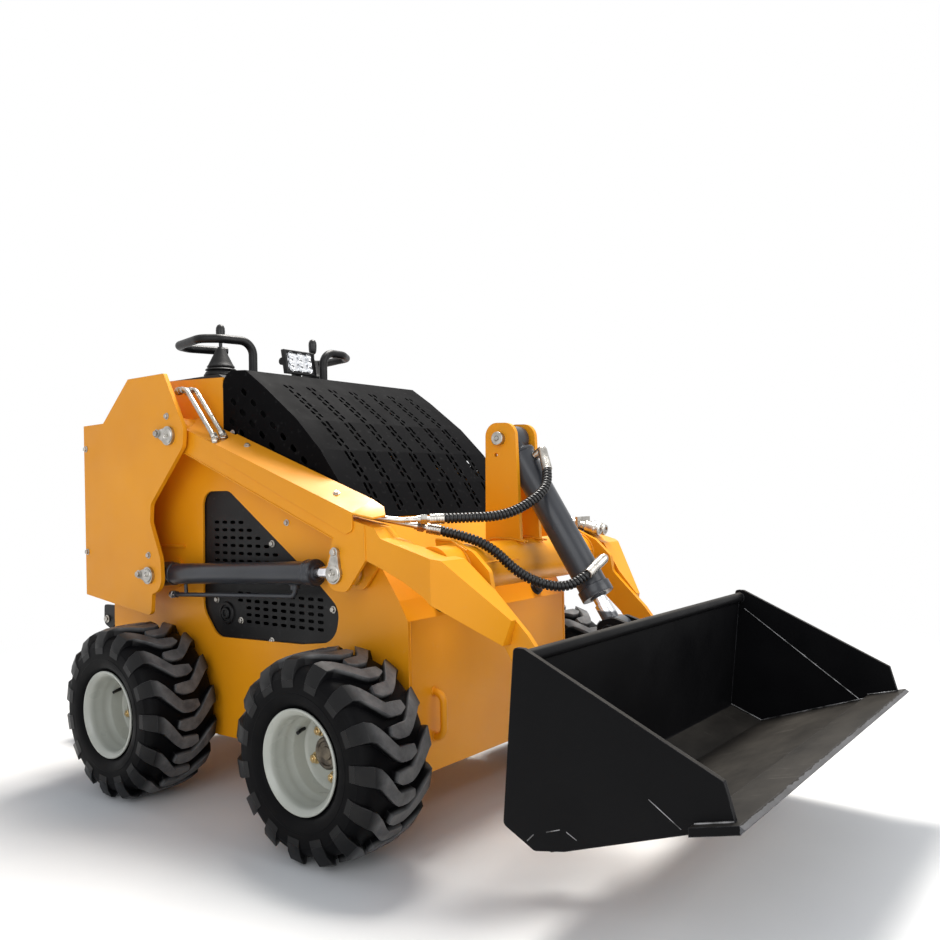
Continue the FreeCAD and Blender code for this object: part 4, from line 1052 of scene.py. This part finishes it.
def joysticks():
    boot = [(0, 26), (46, 26), (46.5, 32), (45, 34.5), (39.5, 36), (40, 37.5), (45.5, 40), (46, 42),
            (44, 44.5), (38, 46), (38.5, 48), (41, 50), (40.5, 53), (37.5, 56), (33, 65), (26, 79),
            (19, 93), (14.5, 103), (12, 109), (8, 111), (0, 111)]
    pod = [(0, 0), (50, 0), (50, 2), (48.6, 3), (48.6, 22), (50, 24), (50, 27), (47, 29), (0, 29)]
    stem = [(0, 99), (5.4, 99), (5.4, 135), (0, 135)]
    knob = [(0, 132), (7, 132), (10.5, 135), (12.4, 141), (13.2, 151), (13.6, 161), (12.8, 170), (9.5, 177),
            (4.5, 180), (0, 180.4)]
    for side_name, side in SIDES:
        m = Matrix.Translation((STICK_X, side * STICK_Y, CONSOLE_Z + 0.3))
        gone = "joysticks" if side < 0 else None
        boots, grips = [lathe(boot, 56, m), lathe(pod, 56, m)], [lathe(knob, 40, m), lathe(stem, 20, m)]
        make("stick_boot_" + side_name, boots, "chassis", "rubber", smooth=45, replaces=gone)
        make("stick_grip_" + side_name, grips, "chassis", "plastic", smooth=45)


joysticks()


# Feet of the handlebars, each with four bolts
FOOT_X, FOOT_YS, FOOT_BOLT_R = -205, (-190, 87), 19.5


def bar_feet():
    out = []
    for y in FOOT_YS:
        m = facing((FOOT_X, y, CONSOLE_Z), UP)
        out.append(lathe([(0, 0), (25, 0), (25, 4), (23.5, 5), (16, 5), (14, 8), (0, 8)], 36, m))
        for c, s in circle(4, 45, 405)[:4]:
            out.append(hexagon(7, 3, facing(m @ Vector((FOOT_BOLT_R * c, FOOT_BOLT_R * s, 5)), UP)))
    return out


make("bar_feet", bar_feet(), "chassis", "black_paint")

# Work lamp: bezel, reflector plate, cups and lenses
LAMP = Vector((-229, 8, CONSOLE_Z + 70.5))
LAMP_WAY = Vector((75, 0, 13)).normalized()
LAMP_RISE = Vector((-LAMP_WAY.z, 0, LAMP_WAY.x))
CUP_RISE, CUP_PITCH = 21, 36


def lamp(part):
    """Nine copies of a turned form on the lamp's face."""
    out = []
    for i in (-1, 0, 1):
        for j in (-1, 0, 1):
            p = LAMP + LAMP_RISE * (CUP_RISE * i) + Vector((0, CUP_PITCH * j, 0)) + LAMP_WAY
            out.append(lathe(part, 24, facing(p, LAMP_WAY)))
    return out


def bezel(wide, high, edge, depth):
    """Rounded frame round the lamp's face."""
    n = 28
    pts, faces = [], []
    for inset, radius, w in ((0, 12, 0), (0, 12, depth - 1.5), (1.5, 11, depth), (edge, 6, depth),
                             (edge + 1, 5, 0)):
        u, v = wide / 2 - inset - radius, high / 2 - inset - radius
        for c, s in circle(n, 180 / n, 360 + 180 / n)[:n]:
            pts.append(Vector((math.copysign(u, c) + radius * c, math.copysign(v, s) + radius * s, w)))
    for i in range(5):
        for k in range(n):
            a, b, j = i * n, (i + 1) % 5 * n, (k + 1) % n
            faces.append((a + k, a + j, b + j, b + k))
    return moved((pts, faces), facing(LAMP - LAMP_WAY, LAMP_WAY))


board = prism([(-54, -31), (54, -31), (54, 31), (-54, 31)], 1.5)
board = moved(board, facing(LAMP + LAMP_WAY * 0.8, LAMP_WAY))
cups = lamp([(2, 1), (6, 1.6), (8.4, 3), (9.8, 5.6), (10.6, 5.6), (11.2, 1)])
lenses = lamp([(0, 5.8), (3, 5.6), (6, 4.6), (7.6, 3.2), (7.8, 2.5), (0, 2)])
make("lamp_bezel", [bezel(118, 73, 8, 7)], "chassis", "black_paint", smooth=30)
make("lamp_reflector", [board] + cups, "chassis", "reflector")
make("lamp_lenses", lenses, "chassis", "lens")


# Weld beads
def ring(centre, radius, y, steps=40, start=0, stop=360):
    """Points on an arc round an (x, z) centre."""
    return [(centre[0] + radius * c, y, centre[1] + radius * s) for c, s in circle(steps, start, stop)]


def welds_boom():
    y = -ARM_OUT_Y
    x, z = CROSS[0] + 54, CROSS[1] + 12
    ears = [(520, 690), (545, 697), (595, 697), (640, 690)]
    return both([bead(line, r) for line, r in (
        ([(-245, y, 942), (345, y, 712)], 2.4),
        ([(448, y - 0.5, 741), (450, y - 0.5, 664)], 2.4),
        ([(x, -90, z), (x, -268, z)], 2.4),
        (ring(CROSS, 56, -266.5), 3.4),
        (ring(PIVOT, 50, y, 20, -60, 60), 2.6),
        ([(552, -283, 706), (596, -283, 704), (640, -283, 682)], 2.8),
        (ring(CROSS, 56, -283.5, 32, -60, 196), 2.8),
        ([(x, -50, z) for x, z in ears], 3.2),
        ([(x, -35, z) for x, z in ears], 3.2))])


make("boom_welds", welds_boom(), "boom", "yellow_paint", smooth=60)


def welds_chassis():
    out = [bead([(511, -331, 165), (511, -331, 519)], 2.0)]
    for y in (-348, -412):
        out.append(bead([(-448, y, 677), (-512, y, 677)], 2.4))
    for z in (346, 240):
        out.append(bead([(511.5, -250 + 10 * c, z + 10 * s) for c, s in circle(16)], 2.4))
    return both(out)


make("chassis_welds", welds_chassis(), "chassis", "yellow_paint", smooth=60)

# Ledges on the side plates, inside the towers
LEDGE, LEDGE_Z = [(-520, -348), (-329, -348), (-329, -339.7), (-520, -339.7)], 671
make("tower_ledges", both([shifted(prism(LEDGE, 6), 0, 0, LEDGE_Z)]), "chassis", "yellow_paint")


# The bucket's floor from its turn to its front as (x, z) points, and the cutting edge's slope
FLOOR_TURN, FLOOR_FRONT = (1015.5, 176.6), (1274.2, 266.0)
EDGE_X, EDGE_SLOPE = 1282, 0.2536


def floor_z(x):
    (x0, z0), (x1, z1) = FLOOR_TURN, FLOOR_FRONT
    return z0 + (x - x0) * (z1 - z0) / (x1 - x0)


def edge_z(x):
    return floor_z(EDGE_X) + (x - EDGE_X) * EDGE_SLOPE


def welds_bucket():
    inner, outer = -532.5, -542.7
    turn, front = (1009, inner, floor_z(1009) + 8), (1281, inner, floor_z(1281) + 8)
    out = [bead([(926, inner, 215), turn], 2.6), bead([turn, front], 2.4)]
    out.append(bead([(968, inner, 482), (1263, inner, 270)], 1.6))
    for x0, z0, x1, z1 in ((967, 189, 981, 203), (1008, 213, 1036, 223), (1049, 222, 1070, 212),
                           (1207, 309, 1263, 272)):
        out.append(bead([(x0, outer, z0), (x1, outer, z1)], 1.1))
    out.append(bead([(x, -543.3, edge_z(x) + 16) for x in (1286, 1351)], 2.6))
    out.append(bead([(EDGE_X, inner, floor_z(EDGE_X) + 17), (1350, inner, edge_z(1350) + 16)], 2.2))
    return both(out)


make("bucket_welds", welds_bucket(), "bucket", "weld", 60)


# Quick couplers on the left arm
def couplers():
    line = [(0, 0), (13.4, 0), (13.4, 8)]
    for h in range(0, 16, 4):
        line += [(13.4, h + 10), (12.6, h + 11), (12.6, h + 12.5), (13.4, h + 13.5)]
    line += [(15.5, 30), (17, 32), (17, 58), (15.5, 60), (15, 71), (13, 73), (9, 73), (9, 66), (0, 66)]
    shapes = []
    for y in (302, 334):
        a, b = Vector((545, y, 728)), Vector((650, y, 702))
        way = (b - a).normalized()
        shapes += [lathe(line, 40, facing(b - way * 70, way)), hexagon(26, 14, facing(a + way * 12, way))]
    return shapes


make("coupler_sleeves", couplers(), "boom", "zinc")


# Nuts and collars of the steel tubes on the right arm
def tube_nuts():
    out = []
    for a, b in (((500, -345, 753), (549, -300, 754)), ((490, -322, 744), (533, -292, 733))):
        a, b = Vector(a), Vector(b)
        way = (b - a).normalized()
        out.append(hexagon(22, 16, facing(b - way * 22, way)))
        out.append(lathe([(0, 0), (9, 0), (9, 8), (0, 8)], 24, facing(b - way * 30, way)))
    level = (39, 0, 5)
    for x, y, knee_x in ((-102, -402, -229), (-97, -379, -220)):
        seat = Vector((x, y, roof_z(x, y) - 4.3))
        knee = Vector((knee_x, y, 1110))
        down = (seat - knee).normalized()
        tail = knee - Vector(level)
        out += [hexagon(20, 9, facing(seat, LID_UP)),
                hexagon(17, 10, facing(seat + LID_UP * 9 - down * 14, down)),
                hexagon(21, 13, facing(tail + Vector((2, 0, 0.3)), level)),
                hexagon(17, 9, facing(tail + Vector((17, 0, 2.2)), level))]
    return out


make("line_nuts_boom", tube_nuts(), "boom", "zinc")


# Stage
def make_floor():
    me = bpy.data.meshes.new("floor")
    s = 30.0
    me.from_pydata([(-s, -s, 0), (s, -s, 0), (s, s, 0), (-s, s, 0)], [], [(0, 1, 2, 3)])
    t = Tree("floor")
    fade = t.ramp(t.maths("DIVIDE", t.vector_maths("LENGTH", t.coord), 5.0), (0.24, 0.0), (0.7, 1.0))
    tone = t.mix(t.noise(4.0, 4), (0.74, 0.74, 0.74), (0.8, 0.8, 0.79))
    t.set(Base_Color=t.mix(fade, tone, (0.0, 0.0, 0.0)), Roughness=0.85, Specular_IOR_Level=0.0,
          Emission_Color=(1.0, 1.0, 1.0), Emission_Strength=fade)
    me.materials.append(t.mat)
    add("floor", me)


def make_world():
    """Pale light all round, which cameras, reflections and glass see as white."""
    world = bpy.data.worlds.new("studio")
    bpy.context.scene.world = world
    world.use_nodes = True
    nt = world.node_tree
    light = next(n for n in nt.nodes if n.type == "BACKGROUND")
    out = next(n for n in nt.nodes if n.type == "OUTPUT_WORLD")
    white = nt.nodes.new("ShaderNodeBackground")
    for node, colour, strength in ((light, (0.75, 0.8, 0.88, 1), 0.5), (white, (1, 1, 1, 1), 1.0)):
        node.inputs["Color"].default_value = colour
        node.inputs["Strength"].default_value = strength
    path = nt.nodes.new("ShaderNodeLightPath")
    seen = path.outputs["Is Camera Ray"]
    for ray in ("Is Glossy Ray", "Is Transmission Ray"):
        either = nt.nodes.new("ShaderNodeMath")
        either.operation = "MAXIMUM"
        nt.links.new(seen, either.inputs[0])
        nt.links.new(path.outputs[ray], either.inputs[1])
        seen = either.outputs[0]
    mix = nt.nodes.new("ShaderNodeMixShader")
    for k, socket in enumerate((seen, light.outputs[0], white.outputs[0])):
        nt.links.new(socket, mix.inputs[k])
    nt.links.new(mix.outputs[0], out.inputs["Surface"])


LIT = Vector((0.1, 0, 0.5))


def area_light(name, place, size, power, colour=(1, 1, 1)):
    """Square lamp that looks at the machine's middle."""
    data = bpy.data.lights.new(name, "AREA")
    data.size, data.energy, data.color = size, power, colour
    way = LIT - Vector(place)
    turn = way.to_track_quat("-Z", "Y").to_matrix().to_4x4()
    add(name, data).matrix_world = Matrix.Translation(place) @ turn


make_floor()
make_world()
area_light("key", (-0.6, 1.2, 4.6), 1.6, 360, (1.0, 0.97, 0.92))
area_light("fill", (2.2, -4.2, 2.2), 3.5, 80, (0.95, 0.97, 1.0))
area_light("front", (4.5, 0.5, 2.4), 3.0, 105)
bpy.context.scene.view_settings.view_transform = "Standard"
